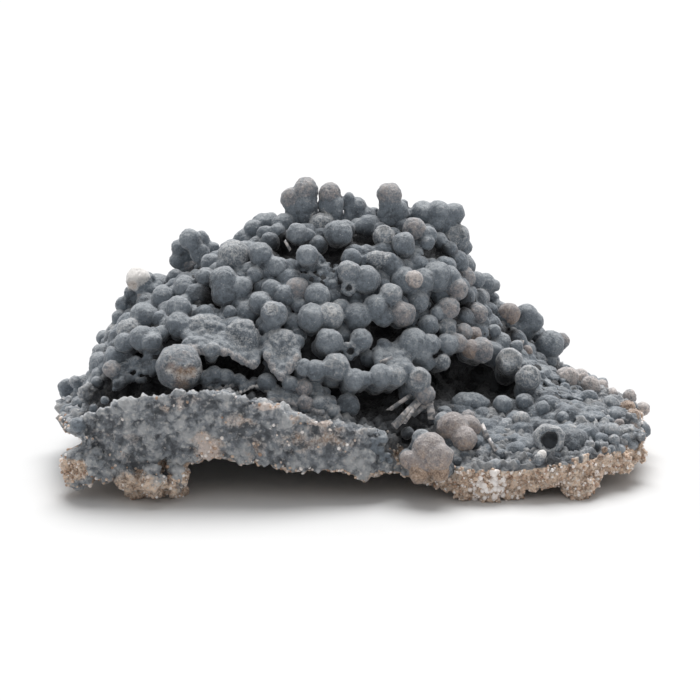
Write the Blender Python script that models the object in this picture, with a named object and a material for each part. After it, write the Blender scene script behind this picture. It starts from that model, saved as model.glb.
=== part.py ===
"""Botryoidal chalcedony of the grape agate habit: one stone, made as one closed solid.

Every figure is a real size in millimetres until the last step, which turns the stone into metres.
+X runs along the specimen's long side, +Y away from its show face and +Z up. The origin is the centre
of the bounding box's underside, on the surface that the stone stands on.
"""

import math
import random

import bmesh
import bpy
from mathutils import Matrix, Vector, noise
from mathutils.bvhtree import BVHTree

METRES = 0.001

# Where the show face is measured from: straight on, and a little from above.
LOOK_DOWN = math.radians(14)
EYE_DISTANCE = 450
AIM = Vector((-1.4, 0, 21))
FEET_LINE = 30
TOWARDS_EYE = Vector((0, -math.cos(LOOK_DOWN), math.sin(LOOK_DOWN)))
PICTURE_UP = Vector((0, math.sin(LOOK_DOWN), math.cos(LOOK_DOWN)))
EYE = AIM + TOWARDS_EYE * EYE_DISTANCE

# The middle of the whole stone, measured on the finished shape. It becomes the origin.
MIDDLE = Vector((-0.58, 0.9, 0))

# The matrix crust, as (y, z) outlines at stations along X. Each outline has the same twelve corners.
CORNERS = (
    "front bottom", "front top", "crevice", "slope foot", "slope", "brow",
    "ridge", "back brow", "back slope", "back top", "back bottom", "underside",
)
SECTIONS = {
    -58: ((-18, 8), (-19, 10), (-17, 10.5), (-14, 10.5), (-11, 10.5), (-8, 10.5),
          (-4, 10.5), (0, 10), (3, 9.5), (5, 9), (4, 7), (-8, 6.5)),
    -53.5: ((-29, 4), (-30, 12), (-22, 11), (-19, 11.5), (-15, 12), (-9, 12),
            (-2, 12), (5, 11.5), (11, 11), (16, 10), (15, 6.5), (-8, 6)),
    -50.5: ((-31, 4.5), (-31.5, 17), (-22, 12), (-19, 16), (-15, 19.5), (-9, 22),
            (-2, 22.5), (5, 21.5), (11, 18.5), (19, 13), (18, 7), (-8, 6.5)),
    -46: ((-32, 5), (-33, 19), (-22, 13), (-19, 18), (-14, 23), (-6, 26.5),
          (2, 27.5), (10, 25.5), (18, 21), (25, 13), (24, 7), (-8, 7)),
    -36: ((-32, 6), (-33, 21.5), (-21, 16), (-19, 23), (-12, 29), (-4, 33),
          (5, 35), (13, 33), (22, 26), (30, 15), (29, 7), (-6, 9)),
    -24: ((-33, 7), (-32, 22), (-20, 16), (-17, 24), (-10, 32), (-2, 39),
          (6, 42), (15, 39), (25, 29), (33, 16), (32, 8), (-4, 10)),
    -12: ((-33, 5), (-33, 16.5), (-21, 14), (-16, 24), (-8, 34), (0, 43),
          (8, 46.5), (17, 43), (27, 32), (35, 17), (34, 8), (-2, 10)),
    0: ((-33, 4.5), (-33, 14), (-22, 12), (-15, 22), (-7, 33), (1, 43),
        (9, 46), (18, 43), (28, 32), (36, 17), (35, 8), (-2, 10)),
    10: ((-29, 4), (-28, 10), (-21, 10), (-13, 19), (-6, 30), (2, 41),
         (10, 46.5), (19, 43), (28, 32), (36, 16), (35, 7), (-1, 9)),
    18.5: ((-33, 0.6), (-34, 6), (-25, 10.5), (-9, 12.5), (-3, 26), (3, 38),
           (10, 44), (18, 41), (27, 30), (35, 15), (34, 6), (0, 8)),
    22: ((-33, 0.7), (-34, 6), (-25, 10.3), (-9, 12.2), (-2, 22), (4, 30),
         (10, 33), (18, 31), (27, 26), (34.5, 14), (33, 6), (0, 7.5)),
    30: ((-33, 0.8), (-34, 6), (-25, 10), (-9, 12), (-1, 17), (5, 22),
         (11, 24), (18, 22.5), (26, 18), (33, 11.5), (32, 5), (0, 6)),
    40: ((-31, 2), (-32, 7), (-24, 10.5), (-14, 12), (-4, 12.8), (4, 14),
         (11, 15), (18, 14.5), (24, 12.5), (29, 9.5), (28, 5), (0, 5)),
    50: ((-25, 3), (-26, 7.5), (-20, 10), (-13, 10.5), (-5, 10.5), (3, 10.5),
         (9, 10.5), (14, 10), (18, 9), (21, 7.5), (20, 4), (0, 4)),
    57: ((-14, 4), (-15, 8), (-12, 9), (-9, 9.5), (-5, 9.8), (-1, 10),
         (3, 10), (6, 9.5), (8, 8.5), (9, 7), (8, 4), (-2, 3.5)),
}
EDGE_CREASE = 0.85
CREASED_CORNERS = (0, 1, 9, 10)
CRUST_SMOOTHING = 3
CRUST_LUMPS = ((7.0, 0.9), (2.6, 0.35))

# Balls of the show face: across from the middle, up from the line of the feet, radius, and how far
# each one stands out towards the eye beyond the ball layer behind it.
CREST_BALLS = (
    (-10.2, 62.0, 2.5, 0), (-13.2, 60.2, 2.2, 0), (-10.4, 58.8, 2.6, 0), (-9.2, 60.0, 0.8, 2),
    (-5.4, 61.2, 2.3, 0), (-6.4, 59.0, 1.6, 1), (-4.2, 59.2, 1.6, 1), (-1.6, 60.4, 1.2, 0),
    (-0.4, 58.4, 2.4, 0), (1.4, 56.2, 2.6, 0.5), (3.4, 57.4, 1.2, 0), (6.6, 61.0, 2.6, 0),
    (6.6, 58.6, 2.6, 0), (6.2, 56.4, 2.0, 0), (9.2, 59.0, 1.2, 0), (9.0, 56.8, 2.2, 0),
    (11.4, 54.2, 2.4, 1.5), (9.4, 51.2, 2.4, 2.5), (13.0, 57.2, 2.6, 0), (16.2, 57.6, 2.4, 0),
    (19.4, 57.2, 2.2, 0), (17.8, 54.4, 1.8, 0), (19.6, 52.4, 3.0, 0), (21.2, 50.6, 1.8, 0),
    (14.2, 52.8, 2.0, 0.5), (14.0, 51.4, 1.6, 0.5),
)
UPPER_LEFT_BALLS = (
    (-20.8, 54.2, 1.8, 0), (-19.0, 55.4, 2.0, 0), (-17.4, 55.6, 2.0, 0), (-14.8, 55.2, 2.2, 0),
    (-12.8, 55.8, 1.4, 0), (-18.2, 53.2, 1.8, 0), (-16.0, 53.6, 1.8, 0), (-12.0, 53.2, 2.2, 0.5),
    (-9.8, 52.8, 1.6, 0), (-7.2, 55.0, 2.6, 1), (-3.8, 53.2, 2.9, 1), (-10.0, 49.0, 2.3, 3),
    (-19.2, 49.2, 2.5, 1.5), (-22.4, 51.8, 2.4, 0), (-24.6, 48.8, 3.2, 1), (-16.0, 46.6, 2.2, 0),
    (-20.4, 45.0, 1.8, 0), (-1.2, 48.2, 2.2, 0), (5.4, 52.6, 2.4, 0.5), (-26.2, 46.8, 2.0, 0),
    (-29.2, 47.4, 2.0, 0), (-30.2, 44.4, 2.2, 0.5), (-26.6, 43.8, 3.0, 1.5), (-26.4, 41.2, 2.8, 0),
    (-23.2, 42.4, 2.4, 0), (-33.4, 46.8, 2.0, 0), (-36.2, 44.2, 2.0, 0), (-34.4, 42.6, 2.4, 1),
    (-31.4, 52.0, 1.9, 0), (-33.4, 52.0, 2.2, 0), (-35.0, 50.2, 2.2, 0), (-35.6, 48.0, 2.0, 0),
    (-28.8, 50.4, 1.2, 0), (-43.8, 44.2, 2.4, 0), (-42.0, 43.8, 1.8, 0), (-40.0, 42.8, 1.6, 0),
    (-45.2, 41.4, 1.4, 0), (-46.8, 39.2, 1.6, 0), (-42.0, 40.2, 2.0, 0), (-38.8, 40.4, 2.4, 0.5),
    (-47.6, 36.4, 1.6, 0), (-42.6, 36.6, 3.0, 1.5), (-35.6, 38.2, 2.6, 2), (-35.6, 35.0, 2.6, 1.5),
    (-30.4, 37.2, 2.0, 0), (-25.4, 37.4, 1.6, 0),
)
MIDDLE_BALLS = (
    (7.2, 46.4, 2.6, 0), (-1.6, 45.8, 2.3, 2.5), (1.8, 44.0, 3.0, 0.5), (9.6, 43.8, 2.8, 0.5),
    (13.0, 43.8, 2.6, 0.5), (11.5, 44.2, 1.8, 3), (-17.0, 42.0, 2.2, 0), (-14.8, 40.8, 2.2, 0.5),
    (-11.8, 42.2, 2.4, 0), (-8.0, 40.8, 2.7, 1), (-19.4, 39.4, 2.4, 1), (-16.6, 37.0, 2.8, 2.5),
    (-17.8, 35.0, 2.4, 0.5), (-11.4, 38.8, 1.6, 0), (-9.0, 36.4, 3.0, 1.5), (-5.6, 36.6, 3.0, 1.5),
    (-3.2, 38.6, 1.8, 0.5), (0.0, 36.6, 2.8, 0.5), (3.8, 38.4, 2.7, 1), (5.2, 36.8, 2.2, 0.5),
    (6.8, 41.0, 2.4, 1.5), (9.2, 37.2, 2.6, 1.5), (12.2, 39.8, 2.4, 0), (16.0, 44.6, 3.2, 0),
    (18.2, 44.2, 2.8, 0), (20.0, 47.6, 2.4, 0), (21.8, 46.8, 1.6, 0), (21.4, 44.4, 2.3, 1.5),
    (20.0, 42.2, 2.2, 1.5), (23.8, 44.0, 1.8, 0.5), (25.6, 43.4, 2.0, 0), (27.4, 43.0, 1.3, 0),
    (26.8, 40.4, 1.6, 0), (24.6, 40.4, 2.0, 0.5), (24.0, 37.2, 2.2, 0.5), (28.0, 37.8, 2.2, 0.5),
    (30.4, 37.2, 2.2, 1), (34.0, 37.0, 2.3, 0), (34.8, 35.6, 2.4, 0), (27.4, 33.6, 1.6, 0),
    (18.2, 38.4, 2.3, 1.5), (16.0, 37.4, 1.6, 1), (14.2, 34.8, 2.2, 0.5), (18.0, 34.4, 1.9, 1.5),
    (21.2, 33.4, 2.0, 1), (23.2, 33.0, 1.8, 0.5), (-5.6, 31.6, 2.8, 3), (0.8, 31.8, 2.4, 2.5),
    (5.4, 30.8, 1.6, 0), (11.2, 31.4, 3.0, 2), (14.2, 31.0, 2.4, 2), (12.6, 29.0, 2.2, 2),
    (18.0, 31.2, 2.2, 3), (20.0, 31.4, 2.0, 3), (24.8, 30.0, 2.6, 3), (23.0, 30.2, 2.0, 3),
    (17.2, 27.6, 1.8, 3), (14.0, 27.4, 1.6, 2), (30.4, 27.8, 2.7, 4), (34.2, 24.4, 2.6, 4),
    (31.8, 30.6, 1.4, 1), (34.0, 29.8, 1.2, 1), (38.6, 31.2, 2.8, 0), (41.0, 31.8, 1.6, 0),
    (38.2, 28.6, 1.8, 0),
)
LOWER_BALLS = (
    (-4.2, 26.6, 2.8, 4), (-10.4, 26.4, 1.8, 4), (-8.2, 26.0, 2.2, 4), (-0.4, 24.0, 2.2, 4),
    (1.6, 24.2, 1.6, 4), (4.8, 24.8, 2.4, 4), (7.6, 24.8, 2.4, 4), (6.2, 28.2, 1.4, 2),
    (9.4, 26.2, 2.2, 4), (12.2, 24.0, 2.6, 5), (13.6, 21.0, 2.0, 4), (-1.8, 19.0, 2.4, 0),
    (-4.8, 18.0, 1.4, 1), (-13.4, 23.2, 1.6, 2), (-10.6, 22.4, 1.8, 2), (-10.4, 19.4, 1.6, 2),
    (-7.4, 19.2, 1.6, 2), (-23.4, 24.0, 1.4, 1), (-18.0, 23.6, 1.8, 1), (-30.0, 24.4, 1.6, 1),
    (-28.6, 25.0, 1.8, 1), (-26.2, 24.8, 1.6, 1), (-35.6, 26.6, 4.7, 2),
    (-29.0, 30.2, 1.6, 4.6),
)
LEFT_BALLS = (
    (-50.6, 32.4, 1.6, 0), (-51.8, 30.0, 1.2, 0), (-49.0, 29.8, 1.2, 0), (-48.8, 31.8, 1.2, 0),
    (-48.0, 33.2, 2.4, 1), (-45.4, 33.8, 2.6, 2), (-43.0, 32.4, 2.6, 2), (-41.0, 31.6, 2.0, 2),
    (-46.6, 31.4, 2.0, 3), (-39.2, 33.4, 1.6, 1),
    (-49.0, 26.2, 1.8, 1), (-50.6, 28.0, 1.2, 0), (-44.2, 27.6, 1.2, 0), (-46.4, 27.0, 1.0, 0),
    (-51.8, 25.2, 1.4, 0), (-52.0, 23.6, 1.2, 0), (-54.6, 23.8, 1.4, 0), (-58.2, 22.8, 1.6, 0),
    (-56.2, 23.6, 1.4, 0), (-57.4, 21.4, 2.0, 0), (-55.0, 20.8, 1.8, 0), (-55.4, 19.0, 1.8, 0),
    (-55.8, 15.0, 1.6, 0), (-50.4, 19.8, 1.0, 0), (-52.8, 18.4, 1.0, 0),
    (-55.6, 9.6, 2.6, 0), (-57.2, 6.8, 2.0, 0), (-54.8, 5.4, 2.3, 0), (-52.2, 7.6, 2.6, 0),
    (-56.2, 3.8, 1.6, 0), (-50.4, 5.2, 2.0, 0), (-58.6, 19.4, 1.3, 0), (-57.4, 17.2, 1.6, 0),
    (-56.2, 14.2, 1.8, 0), (-54.6, 12.0, 2.2, 0), (-53.0, 21.0, 2.4, 0), (-55.6, 20.6, 2.0, 0),
)
RIGHT_BALLS = (
    (29.2, 19.0, 2.0, 1), (33.6, 19.4, 2.0, 1), (37.0, 18.2, 1.6, 0.5), (32.8, 16.0, 1.8, 1),
    (21.2, 19.2, 2.2, 0), (24.2, 19.2, 2.0, 0), (17.6, 17.4, 1.6, 0), (19.6, 14.0, 3.6, 2),
    (15.2, 9.6, 4.2, 3), (10.4, 7.8, 2.0, 3), (12.6, 5.6, 2.2, 3), (10.0, 13.4, 1.4, 0),
    (42.0, 24.4, 2.4, 0), (44.6, 24.4, 1.8, 0), (46.8, 22.8, 2.0, 0), (49.0, 22.8, 1.4, 0),
    (46.4, 20.4, 1.7, 0.5), (41.2, 16.4, 1.4, 0), (43.4, 18.8, 0.8, 0), (51.0, 21.2, 1.4, 0),
    (50.8, 19.2, 1.8, 0), (54.6, 20.6, 1.5, 0), (54.2, 18.4, 1.6, 0), (55.2, 16.8, 1.4, 0),
    (57.2, 18.2, 1.4, 0), (51.4, 17.0, 1.4, 0), (51.0, 13.8, 1.8, 0.5), (51.4, 12.0, 1.2, 1),
    (52.8, 10.2, 0.9, 0), (53.8, 12.4, 1.0, 0), (55.0, 11.0, 1.2, 0), (58.0, 13.8, 1.8, 0),
    (59.2, 11.8, 1.0, 0), (58.6, 9.0, 0.8, 0), (49.6, 10.0, 0.8, 0), (48.8, 8.6, 0.8, 0),
    (37.0, 9.2, 1.2, 2.6), (12.2, 4.4, 1.4, 3), (16.6, 5.4, 1.8, 2.6), (17.8, 9.0, 1.6, 3),
    (22.4, 14.6, 2.4, 1.6),
)
SHOW_BALLS = (
    CREST_BALLS + UPPER_LEFT_BALLS + MIDDLE_BALLS + LOWER_BALLS + LEFT_BALLS + RIGHT_BALLS
)
SMALLEST_BALL = 1.15
BALL_SEAT = 0.45
NECK = 0.85

# Hollows that stay open between the balls: across, up, radius, depth.
HOLLOWS = (
    (23.6, 24.2, 6.5, 8), (18.6, 25.6, 4, 6), (29.0, 22.8, 4, 6), (-25.8, 27.4, 4.5, 5), (-30.6, 28.2, 4, 5),
    (-21.4, 26.0, 3, 5), (-46.4, 22.0, 4.5, 5), (-51.0, 22.0, 3, 4), (-41.0, 22.6, 3.5, 5),
    (-13.6, 50.6, 3, 4), (-4.4, 49.8, 3, 4), (-28.6, 40.4, 3, 3), (5.0, 32.6, 3, 4),
    (2.6, 21.6, 5, 5), (9.6, 11.6, 4.5, 6), (15.4, 23.0, 4, 5), (-33.4, 31.6, 2.5, 3), (2.0, 53.4, 2.4, 3),
    (16.4, 50.2, 2.4, 3), (24.6, 35.0, 2, 3), (9.4, 33.6, 2, 3), (30.6, 33.6, 2, 3),
)

# Low domes and curling ledges: across, up, half-sizes (across, along, thick), out, lean back in degrees.
DOMES = (
    (4.6, 48.0, 3.7, 1.9, 1.9, 1, 0),
    (22.8, 19.4, 3.8, 2.0, 2.0, 0.4, 0),
    (-30.4, 32.4, 4.4, 3.2, 1.4, 3, 50),
    (-22.8, 30.6, 3.2, 3.8, 1.4, 3.2, 35),
    (-15.0, 28.6, 3.4, 4.2, 1.4, 3.6, 30),
    (-28.4, 30.0, 2.2, 1.6, 1.0, 4, 20),
    (8.0, 28.0, 3.6, 2.2, 1.2, 3.4, 20),
)

# Balls that broke open and left a ring: across, up, ring radius, rim radius, out.
RINGS = (
    (38.4, 12.0, 2.5, 0.75, 2.5),
    (-1.6, 42.6, 1.3, 0.6, 2.0),
    (-1.3, 30.2, 1.2, 0.6, 3.5),
)

# Splinters of broken crust: from (across, up) to (across, up), width, out.
SPLINTERS = (
    ((8.2, 15.6), (10.8, 20.6), 1.6, 3),
    ((7.0, 18.8), (10.6, 20.8), 1.2, 3.5),
    ((10.2, 15.2), (13.2, 19.8), 1.4, 3),
    ((25.6, 14.6), (27.4, 9.8), 1.0, 1.5),
    ((32.6, 31.6), (34.6, 31.0), 1.2, 2),
)
SPLINTER_THICKNESS = 0.45
RING_SIDES, RIM_SIDES = 24, 10

# Lumps under the crust that the stone stands on: x, y, radius. The floor cuts a flat on each.
FEET = (
    (-41.6, -30.5, 2.5), (-37.9, -31, 2.6), (-34.7, -30, 2.2),
    (20.5, -32, 2.3), (24.5, -32.5, 2.7), (29, -31.5, 2.2), (41.6, -30, 2.9),
    (-30, 25, 4.6), (24, 27, 4.2),
)
FOOT_SINK = 0.45

# Balls thrown at the crust: how many throws, the radii, and how close two centres may come as a
# share of their radii together. Those in view are sunk by a share of their radius.
SEED = 11
FAR_BALLS = ((3000, (2.1, 3.2), 0.8), (1500, (1.3, 2.2), 0.85))
MOUND_BALLS, MOUND_STAND = (2600, (1.7, 2.8), 0.58), (-0.4, 0.15)
LOBE_BALLS, LOBE_STAND = (700, (2.2, 4.6), 0.5), (-0.82, -0.68)
FREE_STAND = (0.1, 0.6)
LOWEST_SIDE_BALL, LOWEST_BACK_BALL = 10, 17

BALL_SUBDIVISIONS = 3
FUSE_VOXEL = 0.5
TRIANGLES = 9600
SHARP_ANGLE = math.radians(60)
STONE_COLOUR = (0.16, 0.19, 0.22, 1)


def remove_everything():
    for leftover in list(bpy.data.objects):
        bpy.data.objects.remove(leftover)


def object_of(name, mesh):
    made = bpy.data.objects.new(name, mesh)
    bpy.context.scene.collection.objects.link(made)
    return made


def evaluated_mesh(source):
    """The mesh of an object with its modifiers applied, as a new mesh."""
    graph = bpy.context.evaluated_depsgraph_get()
    return bpy.data.meshes.new_from_object(source.evaluated_get(graph))


def crust_cage():
    """Closed outlines at the stations, joined to their neighbours by quads and capped at both ends."""
    shape = bmesh.new()
    crease = shape.edges.layers.float.new("crease_edge")
    loops = [
        [shape.verts.new((x, y, z)) for y, z in outline] for x, outline in SECTIONS.items()
    ]
    count = len(CORNERS)
    for near, far in zip(loops, loops[1:]):
        for i in range(count):
            after = (i + 1) % count
            shape.faces.new((near[i], near[after], far[after], far[i]))
        for corner in CREASED_CORNERS:
            shape.edges.get((near[corner], far[corner]))[crease] = EDGE_CREASE
    shape.faces.new(reversed(loops[0]))
    shape.faces.new(loops[-1])
    bmesh.ops.recalc_face_normals(shape, faces=shape.faces)
    mesh = bpy.data.meshes.new("crust cage")
    shape.to_mesh(mesh)
    shape.free()
    return mesh


def make_crust():
    """The matrix crust: the cage smoothed, then pushed in and out by lumps of two sizes."""
    cage = object_of("crust_cage", crust_cage())
    smooth = cage.modifiers.new("smooth", "SUBSURF")
    smooth.levels = smooth.render_levels = CRUST_SMOOTHING
    crust = evaluated_mesh(cage)
    bpy.data.objects.remove(cage)
    normals = [vertex.normal.copy() for vertex in crust.vertices]
    for vertex, normal in zip(crust.vertices, normals):
        push = sum(
            height * noise.noise(vertex.co / width) for width, height in CRUST_LUMPS
        )
        vertex.co += normal * push
    return crust


def tree_of(mesh):
    return BVHTree.FromPolygons(
        [vertex.co.copy() for vertex in mesh.vertices], [face.vertices[:] for face in mesh.polygons]
    )


def sight_line(across, up):
    """The direction from the eye through a point measured on the show face."""
    seen = Vector((across, AIM.y, AIM.z)) + PICTURE_UP * (up - FEET_LINE)
    return (seen - EYE).normalized()


def seat(tree, across, up, radius, out):
    """Where a shape measured on the show face sits in depth, its true size, and the crust under it.

    It sits on the crust where its sight line meets it, or where the line passes closest to it."""
    line = sight_line(across, up)
    hit, _, _, far = tree.ray_cast(EYE, line)
    if hit is None:
        steps = [EYE_DISTANCE - 60 + step for step in range(120)]
        far = min(steps, key=lambda step: tree.find_nearest(EYE + line * step)[3])
    centre = EYE + line * (far - BALL_SEAT * radius - out)
    nearness = (EYE - centre).dot(TOWARDS_EYE) / EYE_DISTANCE
    return centre, radius * nearness, tree.find_nearest(centre)[0]


def balls_with_necks(tree):
    """Each ball of the show face as (centre, radius), with smaller balls between it and the crust."""
    balls = []
    for across, up, radius, out in SHOW_BALLS:
        if radius < SMALLEST_BALL:
            continue
        centre, true_radius, root = seat(tree, across, up, radius, out)
        balls.append((centre, true_radius))
        stalk = (centre - root).length
        links = math.ceil(stalk / (0.8 * true_radius)) if stalk > 0.6 * true_radius else 0
        for link in range(links):
            balls.append((root.lerp(centre, link / links), true_radius * NECK))
    return balls


def press_hollows(crust, hollows):
    """Pushes the crust away from the eye where a hollow lies."""
    for vertex in crust.vertices:
        for middle, radius, depth in hollows:
            away = (vertex.co - middle).length / radius / 1.3
            if away < 1:
                vertex.co -= TOWARDS_EYE * depth * (1 - away**2) ** 1.5


def clear_of(balls, centre, radius, spacing):
    return all(
        (centre - other).length > spacing * (radius + other_radius)
        for other, other_radius in balls
    )


def scatter(crust, tree, balls, dice, figures, wanted, stand=FREE_STAND):
    """Throws balls at the crust and keeps those that land clear of the others, where wanted says so."""
    tries, radii, spacing = figures
    faces = [face for face in crust.polygons if wanted(face.center, face.normal)]
    picked = dice.choices(faces, weights=[face.area for face in faces], k=tries)
    grown = []
    for face in picked:
        a, b, c = (crust.vertices[i].co for i in face.vertices[:3])
        radius = dice.uniform(*radii)
        spot = a + (b - a) * dice.random() + (c - b) * dice.random()
        landed, normal, _, _ = tree.find_nearest(spot)
        centre = landed + normal * radius * dice.uniform(*stand)
        if clear_of(balls + grown, centre, radius, spacing):
            grown.append((centre, radius))
    return grown


def seen_from_eye(tree, point):
    line = (point - EYE).normalized()
    hit, _, _, _ = tree.ray_cast(EYE, line)
    return hit is not None and (hit - point).length < 2


def unit_ball():
    shape = bmesh.new()
    bmesh.ops.create_icosphere(shape, subdivisions=BALL_SUBDIVISIONS, radius=1)
    corners = [vertex.co.copy() for vertex in shape.verts]
    faces = [[vertex.index for vertex in face.verts] for face in shape.faces]
    shape.free()
    return corners, faces


class Growth:
    """Closed shapes that overlap, gathered as one list of corners and one of faces."""

    def __init__(self, crust):
        self.corners = [vertex.co.copy() for vertex in crust.vertices]
        self.faces = [list(face.vertices) for face in crust.polygons]
        self.ball = unit_ball()

    def add(self, corners, faces):
        start = len(self.corners)
        self.corners += corners
        self.faces += [[start + i for i in face] for face in faces]

    def add_ball(self, centre, radius):
        corners, faces = self.ball
        self.add([centre + corner * radius for corner in corners], faces)

    def add_squashed_ball(self, matrix):
        corners, faces = self.ball
        self.add([matrix @ corner for corner in corners], faces)

    def mesh(self):
        made = bpy.data.meshes.new("growth")
        made.from_pydata(self.corners, [], self.faces)
        return made


def add_dome(growth, tree, across, up, half_across, half_along, half_thick, out, lean):
    centre, size, root = seat(tree, across, up, half_thick, out)
    scale = size / half_thick
    turn = Matrix.Rotation(LOOK_DOWN - math.radians(lean), 4, "X")
    stretch = Matrix.Diagonal((half_across * scale, half_thick * scale, half_along * scale, 1))
    growth.add_squashed_ball(Matrix.Translation(centre) @ turn @ stretch)
    growth.add_ball((centre + root) / 2, half_along * NECK)
    growth.add_ball(root, half_along * NECK)


def add_ring(growth, tree, across, up, ring_radius, rim_radius, out):
    """A broken ball: its rim as a torus that faces the eye, over the stump that it grew from."""
    centre, size, root = seat(tree, across, up, ring_radius, out)
    scale = size / ring_radius
    facing = TOWARDS_EYE.to_track_quat("Z", "Y").to_matrix()
    corners = []
    for i in range(RING_SIDES):
        around = 2 * math.pi * i / RING_SIDES
        for j in range(RIM_SIDES):
            over = 2 * math.pi * j / RIM_SIDES
            reach = ring_radius + rim_radius * math.cos(over)
            local = (reach * math.cos(around), reach * math.sin(around), rim_radius * math.sin(over))
            corners.append(centre + facing @ Vector(local) * scale)
    faces = []
    for i in range(RING_SIDES):
        for j in range(RIM_SIDES):
            this, after = i * RIM_SIDES, (i + 1) % RING_SIDES * RIM_SIDES
            k = (j + 1) % RIM_SIDES
            faces.append([this + j, after + j, after + k, this + k])
    growth.add(corners, faces)
    stump = centre - TOWARDS_EYE * ring_radius * 1.1
    growth.add_ball(stump, ring_radius * 1.05)
    growth.add_ball((stump + root) / 2, ring_radius)


def add_splinter(growth, tree, start, end, width, out):
    """A thin four-sided sliver that tapers from its start to its end."""
    foot, scale, _ = seat(tree, *start, 1, out - 1)
    tip, _, _ = seat(tree, *end, 1, out)
    along = (tip - foot).normalized()
    side = along.cross(TOWARDS_EYE).normalized() * width / 2 * scale
    thick = TOWARDS_EYE * SPLINTER_THICKNESS * scale
    square = [side * a + thick * b for a, b in ((-1, -1), (1, -1), (1, 1), (-1, 1))]
    corners = [foot + corner for corner in square] + [tip + corner * 0.4 for corner in square]
    sides = [[i, (i + 1) % 4, (i + 1) % 4 + 4, i + 4] for i in range(4)]
    growth.add(corners, [[3, 2, 1, 0], [4, 5, 6, 7]] + sides)


def make_growth(crust):
    """Everything that grew on the crust, and the crust itself, as closed shapes that overlap."""
    tree = tree_of(crust)
    dice = random.Random(SEED)
    hollows = [(seat(tree, across, up, 1, 0)[0], radius, depth) for across, up, radius, depth in HOLLOWS]

    def on_slab(point):
        return point.y < -14 and point.x < 16

    def side_or_back(point, normal):
        lowest = LOWEST_BACK_BALL if point.y > 10 else LOWEST_SIDE_BALL
        hidden = not seen_from_eye(tree, point) and not on_slab(point)
        return point.z > lowest and normal.z > -0.2 and hidden

    def on_mound(point, normal):
        if on_slab(point) or normal.z < -0.3 or point.x > 50 or point.z < 15:
            return False
        in_hollow = any((point - middle).length < radius for middle, radius, _ in hollows)
        return seen_from_eye(tree, point) and not in_hollow

    def on_lobe(point, normal):
        return point.x > 14 and point.y < -6 and point.z < 16 and normal.z > 0.35

    show_balls = balls_with_necks(tree)
    far_balls = []
    for figures in FAR_BALLS:
        far_balls += scatter(crust, tree, show_balls + far_balls, dice, figures, side_or_back)
    mound_balls = scatter(crust, tree, show_balls, dice, MOUND_BALLS, on_mound, MOUND_STAND)
    lobe_balls = scatter(crust, tree, [], dice, LOBE_BALLS, on_lobe, LOBE_STAND)
    balls = show_balls + far_balls + mound_balls + lobe_balls
    print(f"{len(balls)} balls")
    press_hollows(crust, hollows)

    growth = Growth(crust)
    for centre, radius in balls:
        growth.add_ball(centre, radius)
    for dome in DOMES:
        add_dome(growth, tree, *dome)
    for ring in RINGS:
        add_ring(growth, tree, *ring)
    for splinter in SPLINTERS:
        add_splinter(growth, tree, *splinter)
    for x, y, radius in FEET:
        growth.add_ball(Vector((x, y, radius - FOOT_SINK)), radius)
        growth.add_ball(Vector((x, y * 0.97, radius * 2)), radius)
    return growth.mesh()


def keep_largest_piece(mesh):
    """Drops any crumb that the fusing left on its own."""
    shape = bmesh.new()
    shape.from_mesh(mesh)
    shape.verts.ensure_lookup_table()
    unseen = set(shape.verts)
    pieces = []
    while unseen:
        piece = {unseen.pop()}
        edge = set(piece)
        while edge:
            edge = {e.other_vert(v) for v in edge for e in v.link_edges} & unseen
            unseen -= edge
            piece |= edge
        pieces.append(piece)
    pieces.sort(key=len)
    for crumb in pieces[:-1]:
        bmesh.ops.delete(shape, geom=list(crumb), context="VERTS")
    shape.to_mesh(mesh)
    shape.free()
    print(f"{len(pieces) - 1} crumbs dropped")


def floor_cutter():
    """Everything under the surface that the stone stands on."""
    shape = bmesh.new()
    block = Matrix.Translation((0, 0, -5)) @ Matrix.Diagonal((200, 200, 10, 1))
    bmesh.ops.create_cube(shape, size=1, matrix=block)
    mesh = bpy.data.meshes.new("floor")
    shape.to_mesh(mesh)
    shape.free()
    cutter = object_of("floor_cutter", mesh)
    cutter.hide_render = True
    cutter.display_type = "WIRE"
    return cutter


def fuse(growth):
    """One skin round all the shapes, thinned to few triangles, with flats where it meets the floor."""
    rough = object_of("growth", growth)
    skin = rough.modifiers.new("one skin", "REMESH")
    skin.mode = "VOXEL"
    skin.voxel_size = FUSE_VOXEL
    fused = evaluated_mesh(rough)
    bpy.data.objects.remove(rough)
    keep_largest_piece(fused)

    stone = object_of("chalcedony", fused)
    corners = sum(len(face.vertices) - 2 for face in fused.polygons)
    thin = stone.modifiers.new("fewer triangles", "DECIMATE")
    thin.ratio = TRIANGLES / corners
    thin.use_collapse_triangulate = True
    cut = stone.modifiers.new("flats on the feet", "BOOLEAN")
    cut.operation = "DIFFERENCE"
    floor = floor_cutter()
    cut.object = floor
    stone.data = evaluated_mesh(stone)
    stone.modifiers.clear()
    stone.data.shade_smooth()
    stone.data.set_sharp_from_angle(angle=SHARP_ANGLE)
    bpy.data.objects.remove(floor)
    return stone


def colour(stone):
    material = bpy.data.materials.new("chalcedony")
    material.use_nodes = True
    shader = material.node_tree.nodes["Principled BSDF"]
    shader.inputs["Base Color"].default_value = STONE_COLOUR
    shader.inputs["Roughness"].default_value = 0.55
    shader.inputs["Metallic"].default_value = 0
    stone.data.materials.clear()
    stone.data.materials.append(material)


def main():
    remove_everything()
    stone = fuse(make_growth(make_crust()))
    colour(stone)
    stone.data.transform(Matrix.Scale(METRES, 4) @ Matrix.Translation(-MIDDLE))


main()
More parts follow.
